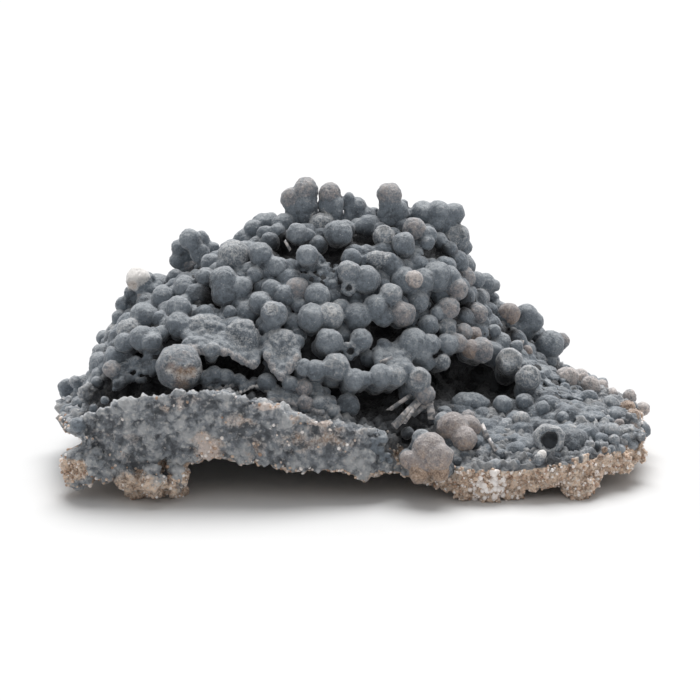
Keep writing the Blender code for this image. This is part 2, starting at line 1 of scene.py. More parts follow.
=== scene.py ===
# %% [markdown]
# # A specimen of botryoidal chalcedony
#
# Botryoidal means "like a bunch of grapes". Silica-rich water left this chalcedony behind as slate
# blue-grey balls, 3 to 6 mm across, on a thin crust of tan matrix. The whole specimen is about
# 120 mm long and stands on a few lumps under its crust.
#
# Each figure below is a real size in millimetres, and becomes metres only where a mesh is made.

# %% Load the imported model
import math
import random

import bmesh
import bpy
import numpy as np
from mathutils import Euler, Matrix, Vector, noise
from mathutils.bvhtree import BVHTree


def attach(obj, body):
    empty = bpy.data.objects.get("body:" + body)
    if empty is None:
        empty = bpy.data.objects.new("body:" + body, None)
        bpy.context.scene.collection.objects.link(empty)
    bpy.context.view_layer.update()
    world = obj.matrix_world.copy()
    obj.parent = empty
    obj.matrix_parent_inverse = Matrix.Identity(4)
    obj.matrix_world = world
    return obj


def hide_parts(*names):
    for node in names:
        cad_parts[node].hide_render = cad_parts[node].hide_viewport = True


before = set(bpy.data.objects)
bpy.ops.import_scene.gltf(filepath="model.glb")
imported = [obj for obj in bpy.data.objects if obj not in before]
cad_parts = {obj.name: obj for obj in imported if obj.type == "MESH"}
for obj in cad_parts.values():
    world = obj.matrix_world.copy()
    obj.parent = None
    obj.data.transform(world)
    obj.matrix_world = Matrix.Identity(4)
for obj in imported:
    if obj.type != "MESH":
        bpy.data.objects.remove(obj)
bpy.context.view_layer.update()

MM = 0.001

# %% [markdown]
# ## The eye
#
# The specimen is looked at from the front and a little from above, at arm's length through a long
# lens, so that its front and its back keep nearly the same scale. A wide lens close up would swell
# the slab in front. Where a ball sits across and up on the show face is measured from this eye too.

# %% Camera
LOOK_DOWN = math.radians(14)
EYE_DISTANCE = 450
LENS = 115.7
AIM = Vector((-1.4, 0, 21))
MIDDLE = Vector((-0.58, 0.9, 0))
FEET_LINE = 30
TOWARDS_EYE = Vector((0, -math.cos(LOOK_DOWN), math.sin(LOOK_DOWN)))
PICTURE_UP = Vector((0, math.sin(LOOK_DOWN), math.cos(LOOK_DOWN)))
EYE = AIM + TOWARDS_EYE * EYE_DISTANCE

camera = bpy.data.objects.new("camera", bpy.data.cameras.new("camera"))
bpy.context.scene.collection.objects.link(camera)
camera.data.lens = LENS
camera.data.clip_start = 0.01
camera.location = (EYE - MIDDLE) * MM
camera.rotation_euler = TOWARDS_EYE.to_track_quat("Z", "Y").to_euler()
bpy.context.scene.camera = camera
print("camera", EYE_DISTANCE, "mm away, looking down", round(math.degrees(LOOK_DOWN)), "degrees")

# %% [markdown]
# ## The crust
#
# The crust is a broken sheet of matrix, thick and steep at the left and thin at the right. It could
# be sculpted by hand, but a few outlines across it, joined and smoothed, keep every height a number
# that can be checked. Two sizes of soft noise then take away the look of a moulding.

# %% Outlines across the crust
# For each station along X, the outline's corners (y, z): up the front, over the top and back below.
SECTIONS = {
    -58: ((-18, 8), (-19, 10), (-17, 10.5), (-14, 10.5), (-11, 10.5), (-8, 10.5),
          (-4, 10.5), (0, 10), (3, 9.5), (5, 9), (4, 7), (-8, 6.5)),
    -53.5: ((-29, 4), (-30, 12), (-22, 11), (-19, 11.5), (-15, 12), (-9, 12),
            (-2, 12), (5, 11.5), (11, 11), (16, 10), (15, 6.5), (-8, 6)),
    -50.5: ((-31, 4.5), (-31.5, 17), (-22, 12), (-19, 16), (-15, 19.5), (-9, 22),
            (-2, 22.5), (5, 21.5), (11, 18.5), (19, 13), (18, 7), (-8, 6.5)),
    -46: ((-32, 5), (-33, 19), (-22, 13), (-19, 18), (-14, 23), (-6, 26.5),
          (2, 27.5), (10, 25.5), (18, 21), (25, 13), (24, 7), (-8, 7)),
    -36: ((-32, 6), (-33, 21.5), (-21, 16), (-19, 23), (-12, 29), (-4, 33),
          (5, 35), (13, 33), (22, 26), (30, 15), (29, 7), (-6, 9)),
    -24: ((-33, 7), (-32, 22), (-20, 16), (-17, 24), (-10, 32), (-2, 39),
          (6, 42), (15, 39), (25, 29), (33, 16), (32, 8), (-4, 10)),
    -12: ((-33, 5), (-33, 16.5), (-21, 14), (-16, 24), (-8, 34), (0, 43),
          (8, 46.5), (17, 43), (27, 32), (35, 17), (34, 8), (-2, 10)),
    0: ((-33, 4.5), (-33, 14), (-22, 12), (-15, 22), (-7, 33), (1, 43),
        (9, 46), (18, 43), (28, 32), (36, 17), (35, 8), (-2, 10)),
    10: ((-29, 4), (-28, 10), (-21, 10), (-13, 19), (-6, 30), (2, 41),
         (10, 46.5), (19, 43), (28, 32), (36, 16), (35, 7), (-1, 9)),
    18.5: ((-33, 0.6), (-34, 6), (-25, 10.5), (-9, 12.5), (-3, 26), (3, 38),
           (10, 44), (18, 41), (27, 30), (35, 15), (34, 6), (0, 8)),
    22: ((-33, 0.7), (-34, 6), (-25, 10.3), (-9, 12.2), (-2, 22), (4, 30),
         (10, 33), (18, 31), (27, 26), (34.5, 14), (33, 6), (0, 7.5)),
    30: ((-33, 0.8), (-34, 6), (-25, 10), (-9, 12), (-1, 17), (5, 22),
         (11, 24), (18, 22.5), (26, 18), (33, 11.5), (32, 5), (0, 6)),
    40: ((-31, 2), (-32, 7), (-24, 10.5), (-14, 12), (-4, 12.8), (4, 14),
         (11, 15), (18, 14.5), (24, 12.5), (29, 9.5), (28, 5), (0, 5)),
    50: ((-25, 3), (-26, 7.5), (-20, 10), (-13, 10.5), (-5, 10.5), (3, 10.5),
         (9, 10.5), (14, 10), (18, 9), (21, 7.5), (20, 4), (0, 4)),
    57: ((-14, 4), (-15, 8), (-12, 9), (-9, 9.5), (-5, 9.8), (-1, 10),
         (3, 10), (6, 9.5), (8, 8.5), (9, 7), (8, 4), (-2, 3.5)),
}
EDGE_CREASE = 0.85
CREASED_CORNERS = (0, 1, 9, 10)
# Soft noise over the whole crust: width, height.
CRUST_LUMPS = ((7.0, 0.9), (2.6, 0.35))
print(len(SECTIONS), "outlines, from", min(SECTIONS), "to", max(SECTIONS), "mm along X")

# %% Two helpers for meshes
def object_of(name, mesh):
    made = bpy.data.objects.new(name, mesh)
    bpy.context.scene.collection.objects.link(made)
    return made


def evaluated_mesh(source):
    """The mesh of an object with its modifiers applied, as a new mesh."""
    graph = bpy.context.evaluated_depsgraph_get()
    return bpy.data.meshes.new_from_object(source.evaluated_get(graph))


# %% The crust, smoothed and lumpy
def crust_cage():
    """Closed outlines at the stations, joined to their neighbours by quads, both ends capped."""
    shape = bmesh.new()
    crease = shape.edges.layers.float.new("crease_edge")
    loops = [[shape.verts.new((x, y, z)) for y, z in outline] for x, outline in SECTIONS.items()]
    count = len(loops[0])
    for near, far in zip(loops, loops[1:]):
        for i in range(count):
            after = (i + 1) % count
            shape.faces.new((near[i], near[after], far[after], far[i]))
        for corner in CREASED_CORNERS:
            shape.edges.get((near[corner], far[corner]))[crease] = EDGE_CREASE
    shape.faces.new(reversed(loops[0]))
    shape.faces.new(loops[-1])
    bmesh.ops.recalc_face_normals(shape, faces=shape.faces)
    mesh = bpy.data.meshes.new("crust cage")
    shape.to_mesh(mesh)
    shape.free()
    return mesh


def smooth_crust():
    cage = object_of("crust_cage", crust_cage())
    smooth = cage.modifiers.new("smooth", "SUBSURF")
    smooth.levels = smooth.render_levels = 3
    crust = evaluated_mesh(cage)
    bpy.data.objects.remove(cage)
    normals = [vertex.normal.copy() for vertex in crust.vertices]
    for vertex, normal in zip(crust.vertices, normals):
        push = sum(height * noise.noise(vertex.co / width) for width, height in CRUST_LUMPS)
        vertex.co += normal * push
    return crust


crust = smooth_crust()
crust_tree = BVHTree.FromPolygons(
    [vertex.co.copy() for vertex in crust.vertices], [face.vertices[:] for face in crust.polygons]
)
print("crust:", len(crust.polygons), "faces before its rough skin")

# %% [markdown]
# ## The balls of the show face
#
# Each ball grew outward from a point, so each is nearly a true sphere, and neighbours run into each
# other. The balls that make the specimen's character are listed one by one: how far across from the
# middle, how far up from the line of the feet, the radius, how far it stands out in front of the
# layer of balls behind it, and its finish where that isn't plain slate.

# %% Balls listed: across, up, radius, out, finish
# The pink balls of the crest are paler partly for their tint and partly as a painted rim light
# against the bright tent.
CREST_BALLS = (
    (-10.2, 62.0, 2.5, 0, "pink"), (-13.2, 60.2, 2.2, 0, "pink"), (-10.4, 58.8, 2.6, 0),
    (-9.2, 60.0, 0.8, 2, "pale"), (-5.4, 61.2, 2.3, 0, "pink"), (-6.4, 59.0, 1.6, 1),
    (-4.2, 59.2, 1.6, 1), (-1.6, 60.4, 1.2, 0), (-0.4, 58.4, 2.4, 0), (1.4, 56.2, 2.6, 0.5),
    (3.4, 57.4, 1.2, 0), (6.4, 61.0, 2.5, 0, "pink"), (7.6, 57.6, 2.7, 0.5), (6.2, 56.4, 2.0, 0),
    (9.2, 59.0, 1.2, 0), (9.0, 56.8, 2.2, 0), (11.4, 54.2, 2.4, 1.5, "pink"), (9.4, 51.2, 2.4, 2.5),
    (13.0, 57.2, 2.6, 0), (16.2, 57.6, 2.4, 0), (19.4, 57.2, 2.2, 0), (17.8, 54.4, 1.8, 0),
    (19.6, 52.4, 3.0, 0, "pale"), (21.2, 50.6, 1.8, 0), (14.2, 52.8, 2.0, 0.5),
    (14.0, 51.4, 1.6, 0.5),
)
UPPER_LEFT_BALLS = (
    (-20.8, 54.2, 1.8, 0), (-19.0, 55.4, 2.0, 0), (-17.4, 55.6, 2.0, 0), (-14.8, 55.2, 2.2, 0),
    (-12.8, 55.8, 1.4, 0), (-18.2, 53.2, 1.8, 0), (-16.0, 53.6, 1.8, 0), (-12.0, 53.2, 2.2, 0.5),
    (-9.8, 52.8, 1.6, 0), (-7.2, 55.0, 2.6, 1, "frost"), (-3.8, 53.2, 2.9, 1),
    (-10.0, 49.0, 2.3, 3), (-19.2, 49.2, 2.5, 1.5), (-22.4, 51.8, 2.4, 0),
    (-24.6, 48.8, 3.2, 1, "frost"), (-16.0, 46.6, 2.2, 0), (-20.4, 45.0, 1.8, 0),
    (-1.2, 48.2, 2.2, 0, "dark"), (5.4, 52.6, 2.4, 0.5, "frost"), (-26.2, 46.8, 2.0, 0),
    (-29.2, 47.4, 2.0, 0), (-30.2, 44.4, 2.2, 0.5), (-26.6, 43.8, 3.0, 1.5),
    (-26.4, 41.2, 2.8, 0, "dark"), (-23.2, 42.4, 2.4, 0), (-33.4, 46.8, 2.0, 0, "pink"),
    (-36.2, 44.2, 2.0, 0), (-34.4, 42.6, 2.4, 1), (-31.4, 52.0, 1.9, 0), (-33.4, 52.0, 2.2, 0),
    (-35.0, 50.2, 2.2, 0), (-35.6, 48.0, 2.0, 0), (-28.8, 50.4, 1.2, 0),
    (-43.8, 44.2, 2.4, 0, "white"), (-42.0, 43.8, 1.8, 0), (-40.0, 42.8, 1.6, 0),
    (-45.2, 41.4, 1.4, 0), (-46.8, 39.2, 1.6, 0), (-42.0, 40.2, 2.0, 0, "pink"),
    (-38.8, 40.4, 2.4, 0.5), (-47.6, 36.4, 1.6, 0), (-42.6, 36.6, 3.0, 1.5), (-35.6, 38.2, 2.6, 2),
    (-35.6, 35.0, 2.6, 1.5), (-30.4, 37.2, 2.0, 0, "dark"), (-25.4, 37.4, 1.6, 0),
)
MIDDLE_BALLS = (
    (7.2, 46.4, 2.6, 0, "dark"), (-1.6, 45.8, 2.3, 2.5, "pale"), (1.8, 44.0, 3.0, 0.5),
    (9.6, 43.8, 2.8, 0.5), (13.0, 43.8, 2.6, 0.5), (11.5, 44.2, 1.8, 4.2, "blush"),
    (-17.0, 42.0, 2.2, 0), (-14.8, 40.8, 2.2, 0.5), (-11.8, 42.2, 2.4, 0, "pink"),
    (-8.0, 40.8, 2.7, 1), (-19.4, 39.4, 2.4, 1), (-16.6, 37.0, 2.8, 2.5), (-17.8, 35.0, 2.4, 0.5),
    (-11.4, 38.8, 1.6, 0), (-9.0, 36.4, 3.0, 1.5), (-5.6, 36.6, 3.0, 1.5, "pale"),
    (-3.2, 38.6, 1.8, 0.5), (0.0, 36.6, 2.8, 0.5), (3.8, 38.4, 2.7, 1), (5.2, 36.8, 2.2, 0.5),
    (6.8, 41.0, 2.4, 1.5, "pale"), (9.2, 37.2, 2.6, 1.5, "pink"), (12.2, 39.8, 2.4, 0),
    (16.0, 44.6, 3.2, 0), (18.2, 44.2, 2.8, 0), (20.0, 47.6, 2.4, 0, "dark"), (21.8, 46.8, 1.6, 0),
    (21.4, 44.4, 2.3, 1.5, "pink"), (20.0, 42.2, 2.2, 1.5, "pink"), (23.8, 44.0, 1.8, 0.5),
    (25.6, 43.4, 2.0, 0), (27.4, 43.0, 1.3, 0), (26.8, 40.4, 1.6, 0),
    (24.6, 40.4, 2.0, 0.5, "pale"), (24.0, 37.2, 2.2, 0.5, "pink"), (28.0, 37.8, 2.2, 0.5),
    (30.4, 37.2, 2.2, 1, "brown"), (34.0, 37.0, 2.3, 0), (34.8, 35.6, 2.4, 0), (27.4, 33.6, 1.6, 0),
    (18.2, 38.4, 2.3, 1.5, "pink"), (16.0, 37.4, 1.6, 1), (14.2, 34.8, 2.2, 0.5),
    (18.0, 34.4, 1.9, 1.5, "pale"), (21.2, 33.4, 2.0, 1, "pink"), (23.2, 33.0, 1.8, 0.5, "brown"),
    (-5.6, 31.6, 2.8, 3), (0.8, 31.8, 2.4, 2.5), (5.4, 30.8, 1.6, 0, "dark"), (11.2, 31.4, 3.0, 2),
    (14.2, 31.0, 2.4, 2), (12.6, 29.0, 2.2, 2), (18.0, 31.2, 2.2, 3), (20.0, 31.4, 2.0, 3, "pink"),
    (24.8, 30.0, 2.6, 3, "pink"), (23.0, 30.2, 2.0, 3, "brown"), (17.2, 27.6, 1.7, 3, "frost"),
    (14.0, 27.4, 1.6, 2), (30.4, 27.8, 2.7, 4, "frost"), (34.2, 24.4, 2.6, 4, "frost"),
    (31.8, 30.6, 1.4, 1), (34.0, 29.8, 1.2, 1, "brown"), (38.6, 31.2, 2.8, 0),
    (41.0, 31.8, 1.6, 0, "pink"), (38.2, 28.6, 1.8, 0),
)
LOWER_BALLS = (
    (-4.2, 26.6, 2.8, 4, "pale"), (-10.4, 26.4, 1.8, 4), (-8.2, 26.0, 2.2, 4), (-0.4, 24.0, 2.2, 4),
    (1.6, 24.2, 1.6, 4), (4.8, 24.8, 2.4, 4), (7.6, 24.8, 2.4, 4, "pale"), (6.2, 28.2, 1.4, 2),
    (9.4, 26.2, 2.2, 4), (12.2, 24.0, 2.6, 5, "pale"), (13.6, 21.0, 2.0, 4, "pink"),
    (-1.8, 19.0, 2.4, 0, "dark"), (-4.8, 18.0, 1.4, 1, "pale"), (-13.4, 23.2, 1.6, 2),
    (-10.6, 22.4, 1.8, 2, "pink"), (-10.4, 19.4, 1.6, 2, "pink"), (-7.4, 19.2, 1.6, 2, "pale"),
    (-23.4, 24.0, 1.4, 1), (-18.0, 23.6, 1.8, 1), (-30.0, 24.4, 1.6, 1), (-28.6, 25.0, 1.8, 1),
    (-26.2, 24.8, 1.6, 1), (-35.6, 26.6, 4.7, 2, "scar"), (-29.0, 30.2, 1.6, 4.6, "pale"),
)
LEFT_BALLS = (
    (-50.6, 32.4, 1.6, 0), (-51.8, 30.0, 1.2, 0), (-49.0, 29.8, 1.2, 0, "pale"),
    (-48.8, 31.8, 1.2, 0), (-48.0, 33.2, 2.4, 1, "frost"), (-45.4, 33.8, 2.6, 2, "frost"),
    (-43.0, 32.4, 2.6, 2), (-41.0, 31.6, 2.0, 2), (-46.6, 31.4, 2.0, 3), (-39.2, 33.4, 1.6, 1),
    (-49.0, 26.2, 1.8, 1, "pink"), (-50.6, 28.0, 1.2, 0), (-44.2, 27.6, 1.2, 0),
    (-46.4, 27.0, 1.0, 0), (-51.8, 25.2, 1.4, 0), (-52.0, 23.6, 1.2, 0),
    (-54.6, 23.8, 1.4, 0, "pale"), (-58.2, 22.8, 1.6, 0), (-56.2, 23.6, 1.4, 0, "pale"),
    (-57.4, 21.4, 2.0, 0), (-55.0, 20.8, 1.8, 0), (-55.4, 19.0, 1.8, 0),
    (-55.8, 15.0, 1.6, 0, "dark"), (-50.4, 19.8, 1.0, 0), (-52.8, 18.4, 1.0, 0, "dark"),
)
RIGHT_BALLS = (
    (29.2, 19.0, 2.0, 1), (33.6, 19.4, 2.0, 1), (37.0, 18.2, 1.6, 0.5), (32.8, 16.0, 1.8, 1, "cap"),
    (21.2, 19.2, 2.2, 0), (24.2, 19.2, 2.0, 0), (17.6, 17.4, 1.6, 0), (19.2, 14.4, 3.2, 2, "rosy"),
    (14.6, 10.0, 3.6, 3, "rosy"), (16.4, 8.6, 2.8, 3.2, "rosy"), (12.8, 12.4, 1.8, 3.6, "pale"),
    (10.4, 8.0, 1.9, 3, "rosy"), (12.6, 5.6, 2.2, 3, "tan"), (21.4, 12.2, 2.6, 1.6, "rosy"),
    (17.2, 16.0, 1.8, 2.2, "pale"), (22.2, 16.2, 1.8, 1.6, "pink"), (13.2, 7.4, 2.6, 2.2, "brown"),
    (10.0, 13.4, 1.4, 0, "dark"), (42.0, 24.4, 2.4, 0, "blush"), (44.6, 24.4, 1.8, 0, "blush"),
    (46.8, 22.8, 2.0, 0, "blush"), (49.0, 22.8, 1.4, 0, "blush"), (46.4, 20.4, 1.7, 0.5),
    (41.2, 16.4, 1.4, 0), (43.4, 18.8, 0.8, 0, "white"), (51.0, 21.2, 1.4, 0, "blush"),
    (50.8, 19.2, 1.8, 0, "pale"), (54.6, 20.6, 1.5, 0, "blush"), (54.2, 18.4, 1.6, 0, "tan"),
    (55.2, 16.8, 1.4, 0, "tan"), (57.2, 18.2, 1.4, 0, "blush"), (51.4, 17.0, 1.4, 0),
    (51.0, 13.8, 1.8, 0.5, "pale"), (51.4, 12.0, 1.2, 1, "pale"), (52.8, 10.2, 0.9, 0),
    (53.8, 12.4, 1.0, 0), (55.0, 11.0, 1.2, 0), (57.0, 14.0, 1.8, 0), (55.4, 14.8, 1.4, 0, "rosy"),
    (49.6, 10.0, 0.8, 0, "tan"), (48.8, 8.6, 0.8, 0, "tan"), (52.6, 15.2, 1.2, 0, "rosy"),
    (37.0, 9.2, 1.1, 2.6, "white"), (36.2, 8.6, 0.8, 2.6, "cap"), (12.2, 4.4, 1.4, 3, "tan"),
    (16.6, 5.4, 1.8, 2.6, "tan"), (17.8, 9.0, 1.6, 3, "rosy"), (22.4, 14.6, 2.4, 1.6, "rosy"),
)
SHOW_BALLS = CREST_BALLS + UPPER_LEFT_BALLS + MIDDLE_BALLS + LOWER_BALLS + LEFT_BALLS + RIGHT_BALLS
print(len(SHOW_BALLS), "balls placed by hand")

# %% [markdown]
# A ball's place across and up says nothing about its depth. Each one therefore slides along its
# line of sight until it sits in the crust, which is also where it would have grown.

# %% Seat the balls on the crust
# How far a ball stands in front of the crust, as a share of its radius, and how thick its neck is.
BALL_SEAT = 0.45
NECK = 0.85
# Shares of the radius: how far apart the links of a neck are, and how far off a root calls for one.
LINK_GAP, NECK_FROM = 0.8, 0.6
# A sight line that misses the crust is searched this far in front of and behind the aim.
SEARCH = 60


class Ball:
    """One ball: its centre, radius and finish, and the way it grew."""

    def __init__(self, centre, radius, finish="plain", grew=None):
        self.centre, self.radius, self.finish = centre, radius, finish
        self.grew = grew or TOWARDS_EYE


def sight_line(across, up):
    seen = Vector((across, AIM.y, AIM.z)) + PICTURE_UP * (up - FEET_LINE)
    return (seen - EYE).normalized()


def seat(across, up, radius, out):
    """Centre and true radius of a shape measured on the show face, and the crust under it."""
    line = sight_line(across, up)
    hit, _, _, far = crust_tree.ray_cast(EYE, line)
    if hit is None:
        steps = [EYE_DISTANCE - SEARCH + step for step in range(2 * SEARCH)]
        far = min(steps, key=lambda step: crust_tree.find_nearest(EYE + line * step)[3])
    centre = EYE + line * (far - BALL_SEAT * radius - out)
    nearness = (EYE - centre).dot(TOWARDS_EYE) / EYE_DISTANCE
    return centre, radius * nearness, crust_tree.find_nearest(centre)[0]


def seated_balls():
    balls = []
    for across, up, radius, out, *finish in SHOW_BALLS:
        centre, true_radius, root = seat(across, up, radius, out)
        finish = finish[0] if finish else "plain"
        stalk = centre - root
        grew = (stalk.normalized() + TOWARDS_EYE).normalized() if stalk.length > 0.1 else None
        balls.append(Ball(centre, true_radius, finish, grew))
        long = stalk.length > NECK_FROM * true_radius
        links = math.ceil(stalk.length / (LINK_GAP * true_radius)) if long else 0
        # The first link, at the root, takes the dark finish: a painted shade where the neck meets
        # the crust.
        for link in range(links):
            place = root.lerp(centre, link / links)
            balls.append(Ball(place, true_radius * NECK, "plain" if link else "dark", grew))
    return balls


show_balls = seated_balls()
print(len(show_balls), "balls with their necks")

# %% [markdown]
# ## The balls of the sides and the back
#
# Balls cover the rest of the crust too. They're thrown at it at random and kept only where they
# land clear of the others, which gives the even but unruly packing of the real growth. The seed is
# fixed, so the same balls grow each time. Hollows stay open between them, painted near black as
# shade, and so do patches where only small granules grow.

# %% Hollows between the balls: across, up, radius, depth
HOLLOWS = (
    (23.6, 24.2, 6.5, 8), (18.6, 25.6, 4, 6), (29.0, 22.8, 4, 6), (-25.8, 27.4, 4.5, 5),
    (-30.6, 28.2, 4, 5), (-21.4, 26.0, 3, 5), (-45.0, 21.4, 3.2, 4), (-50.8, 21.4, 3, 4),
    (-40.2, 22.4, 3.2, 5), (-13.8, 50.4, 3, 4), (-4.4, 49.4, 3, 4), (-28.8, 40.6, 3, 3),
    (5.2, 33.4, 3.2, 4), (2.6, 21.6, 5, 5), (9.6, 11.6, 4.5, 6), (15.4, 23.0, 4, 5),
    (-33.4, 31.6, 2.5, 3), (0.8, 52.6, 2.6, 3), (16.4, 49.8, 2.4, 3), (21.0, 39.0, 2.2, 3),
    (9.4, 33.6, 2, 3), (30.6, 33.6, 2, 3), (-38.6, 33.0, 2.2, 3), (-43.4, 29.4, 2.0, 3),
    (-19.0, 29.0, 1.6, 3), (-5.0, 22.6, 3, 4), (39.0, 7.4, 1.8, 2), (-38.4, 6.6, 1.5, 1.6),
)
hollows = [(seat(across, up, 1, 0)[0], radius, depth) for across, up, radius, depth in HOLLOWS]


def in_hollow(point, margin=0.8):
    """Whether a point lies in a hollow, or within a margin of one."""
    return any((point - middle).length < 1.15 * radius + margin for middle, radius, _ in hollows)


print(len(hollows), "hollows stay open")

# %% Where other balls may grow
SEED = 11


def clear_of(balls, centre, radius, spacing):
    """Whether a new ball would keep its distance from all the others."""
    return all((centre - ball.centre).length > spacing * (radius + ball.radius) for ball in balls)


def scatter(balls, dice, throw, wanted, finishes, stand=(0.1, 0.6)):
    """Throws balls at the crust where wanted says so, and keeps those that land clear of others.

    A throw is how many tries, the radii, and the closest that two centres may come as a share of
    their radii together. How far a centre stands over the crust is a share of the ball's radius,
    and less than 0 is sunk in.
    """
    tries, radii, spacing = throw
    faces = [face for face in crust.polygons if wanted(face.center, face.normal)]
    picked = dice.choices(faces, weights=[face.area for face in faces], k=tries)
    grown = []
    for face in picked:
        a, b, c = (crust.vertices[i].co for i in face.vertices[:3])
        radius = dice.uniform(*radii)
        spot = a + (b - a) * dice.random() + (c - b) * dice.random()
        landed, normal, _, _ = crust_tree.find_nearest(spot)
        centre = landed + normal * radius * dice.uniform(*stand)
        if clear_of(balls + grown, centre, radius, spacing):
            grown.append(Ball(centre, radius, finishes[len(grown) % len(finishes)], normal))
    return grown


def seen_from_eye(point):
    """Whether the crust shows at this point, or hides it from the eye."""
    hit = crust_tree.ray_cast(EYE, (point - EYE).normalized())[0]
    return hit is not None and (hit - point).length < 2


def on_slab(point):
    """On the slab's broken face, its crest or the crevice behind it."""
    return point.y < -14 and point.x < 16


def on_plateau(point):
    return point.x > 14 and point.y < -6 and point.z < 16


def side_or_back(point, normal):
    """Where the balls of the first throw may grow: out of sight, and not too low."""
    lowest = 17 if point.y > 10 else 10
    hidden = not seen_from_eye(point) and not on_slab(point)
    return hidden and point.x > -43 and point.z > lowest and normal.z > -0.2


def beside_others(point, normal):
    return point.z > 10 and normal.z > -0.3 and not seen_from_eye(point) and not on_slab(point)


# Patches of small dark granules: across, up, radius.
GRANULAR = (
    (-44.4, 25.4, 5), (-46, 28, 3), (-7.4, 45.8, 5), (36, 24.5, 4), (41, 22.6, 5), (45, 17.6, 4),
    (-20, 25, 3), (-27.4, 36.6, 4), (-56.4, 20, 4), (6.5, 11.5, 4), (-3, 38.5, 2.5),
)
granular = [(seat(across, up, 1, 0)[0], radius) for across, up, radius in GRANULAR]


def among_granules(point, normal):
    near = any((point - middle).length < radius for middle, radius in granular)
    return near and not in_hollow(point, -1)


def on_mound(point, normal):
    shown = seen_from_eye(point) and not on_slab(point) and not in_hollow(point)
    open_ground = shown and not among_granules(point, normal)
    return open_ground and normal.z > -0.3 and point.x < 50 and point.z > 15


def on_flat_lobe(point, normal):
    return on_plateau(point) and normal.z > 0.72 and not in_hollow(point)


# A ball keeps this far inside the lobe's broken rim.
RIM_WIDTH = 4.5


def inboard_on_lobe(point, normal):
    """On the flat lobe, and far enough from its broken rim for a large ball to stay inside it."""
    inside = point - Vector((0, 0, 1.5))
    for outward in (Vector((0, -1, 0)), Vector((1, 0, 0)), Vector((1, -1, 0))):
        hit = crust_tree.ray_cast(inside, outward)[0]
        if hit is None or (hit - inside).length < RIM_WIDTH:
            return False
    return on_flat_lobe(point, normal)


# %% Throw the balls
# For each throw: how many tries, the radii, and the spacing.
FAR_THROWS = (3000, (2.1, 3.2), 0.8), (1500, (1.3, 2.2), 0.85), (1500, (0.7, 1.3), 0.95)
MOUND_THROWS = (2600, (1.7, 2.8), 0.58), (700, (0.8, 1.4), 0.72)
LOBE_THROWS = (700, (1.5, 3.3), 0.55), (260, (0.9, 1.6), 0.9)
GRANULES = (2400, (0.45, 1.0), 0.68)
# The finishes that the balls of a throw take in turn.
FAR = ("plain", "plain", "pale", "plain", "pink", "plain", "dark", "plain", "frost", "plain")
# The balls between the show balls take mostly the dark finish, a painted shade in the gaps between
# them.
FILL = ("dark", "plain", "dark", "plain", "dark", "dark")

dice = random.Random(SEED)
far_balls = scatter(show_balls, dice, FAR_THROWS[0], side_or_back, FAR)
far_balls += scatter(show_balls + far_balls, dice, FAR_THROWS[1], beside_others, FAR, (-0.3, 0.2))
far_balls += scatter(show_balls + far_balls, dice, FAR_THROWS[2], beside_others, FAR)
mound_balls = scatter(show_balls, dice, MOUND_THROWS[0], on_mound, FILL, (-0.55, -0.1))
mound_balls += scatter(show_balls + mound_balls, dice, MOUND_THROWS[1], on_mound, FILL, (-0.4, 0.1))
lobe_balls = scatter([], dice, LOBE_THROWS[0], inboard_on_lobe, ("lobe",), (-0.66, -0.4))
lobe_balls += scatter(
    show_balls, dice, LOBE_THROWS[1], on_flat_lobe, ("lobe", "pale", "lobe"), (-0.6, -0.3)
)
granules = scatter([], dice, GRANULES, among_granules, ("dark", "dark", "plain"), (0, 0.5))
fill_balls = mound_balls + lobe_balls + granules
print(len(far_balls), "balls on the sides and back,", len(fill_balls), "between the balls in view")

# %% [markdown]
# ## Ledges, domes, cups and chips
#
# Not all of it is balls. Curling ledges of chalcedony hang over the slab, broad grainy domes lie
# over them, a few balls broke open and left a cup, and thin chips of crust stand in the dark
# hollow. Each kind is a short list of places and sizes, and one function turns a row of the list
# into a shape.

# %% Other growths, listed
# A dome: across, up, half-sizes (across, along, thick), out, lean back in degrees, finish.
DOMES = (
    (4.6, 48.0, 3.7, 1.9, 1.9, 1, 0, "frost"),
    (22.8, 19.4, 3.8, 2.0, 2.0, 0.4, 0, "plain"),
    (-30.8, 34.0, 4.4, 2.6, 1.4, 1.2, 50, "grainy"),
    (-23.0, 32.4, 3.0, 3.2, 1.4, 1.8, 35, "grainy"),
    (-15.2, 30.4, 3.0, 3.2, 1.4, 2.2, 30, "grainy"),
)
# A broken ball's open cup: across, up, outer radius, hole radius, out, finish.
CUPS = (
    (38.4, 12.0, 3.2, 1.8, 2.2, "ring"), (-1.6, 42.4, 1.8, 0.7, 1.2, "pale"),
    (-1.3, 29.8, 1.9, 0.75, 2.8, "pale"),
)
# A curling sheet: the lip as (across, up) points, how far up it is rooted, thickness, out, finish.
SHEETS = (
    (((-34.2, 30.6), (-31.8, 30), (-30, 29.4), (-28, 29.2), (-25.8, 29.8)), 3.5, 1.0, 3.6, "lip"),
    (((-25.2, 29.4), (-23.6, 28.2), (-21.6, 27.2), (-20.2, 27)), 4.5, 1.0, 3.6, "lip"),
    (((-18, 28.6), (-16.6, 26), (-15.2, 24.8), (-13.6, 26.2), (-12, 28.4)), 4.5, 1.0, 4.0, "lip"),
    (((-30.4, 22.6), (-28.4, 21.8), (-26, 22.4), (-24, 23.2)), 1.6, 0.5, 0.4, "lip"),
    (((-23.4, 21.4), (-21, 22.6), (-18.8, 22.6), (-17, 21.4), (-15.6, 20.4)),
     1.4, 0.6, 0.9, "white"),
    (((-17.4, 19.8), (-15, 20), (-12, 19), (-9.6, 18), (-7, 17.6)), 1.8, 0.7, 1.2, "lip"),
    (((-11.4, 22.4), (-9, 21.4), (-6.8, 19.8), (-5, 18.6)), 1.6, 0.9, 2.0, "pale"),
    (((4.6, 26.2), (7, 26.6), (9.4, 27.6), (11.4, 29)), 3.0, 1.0, 3.6, "plain"),
)
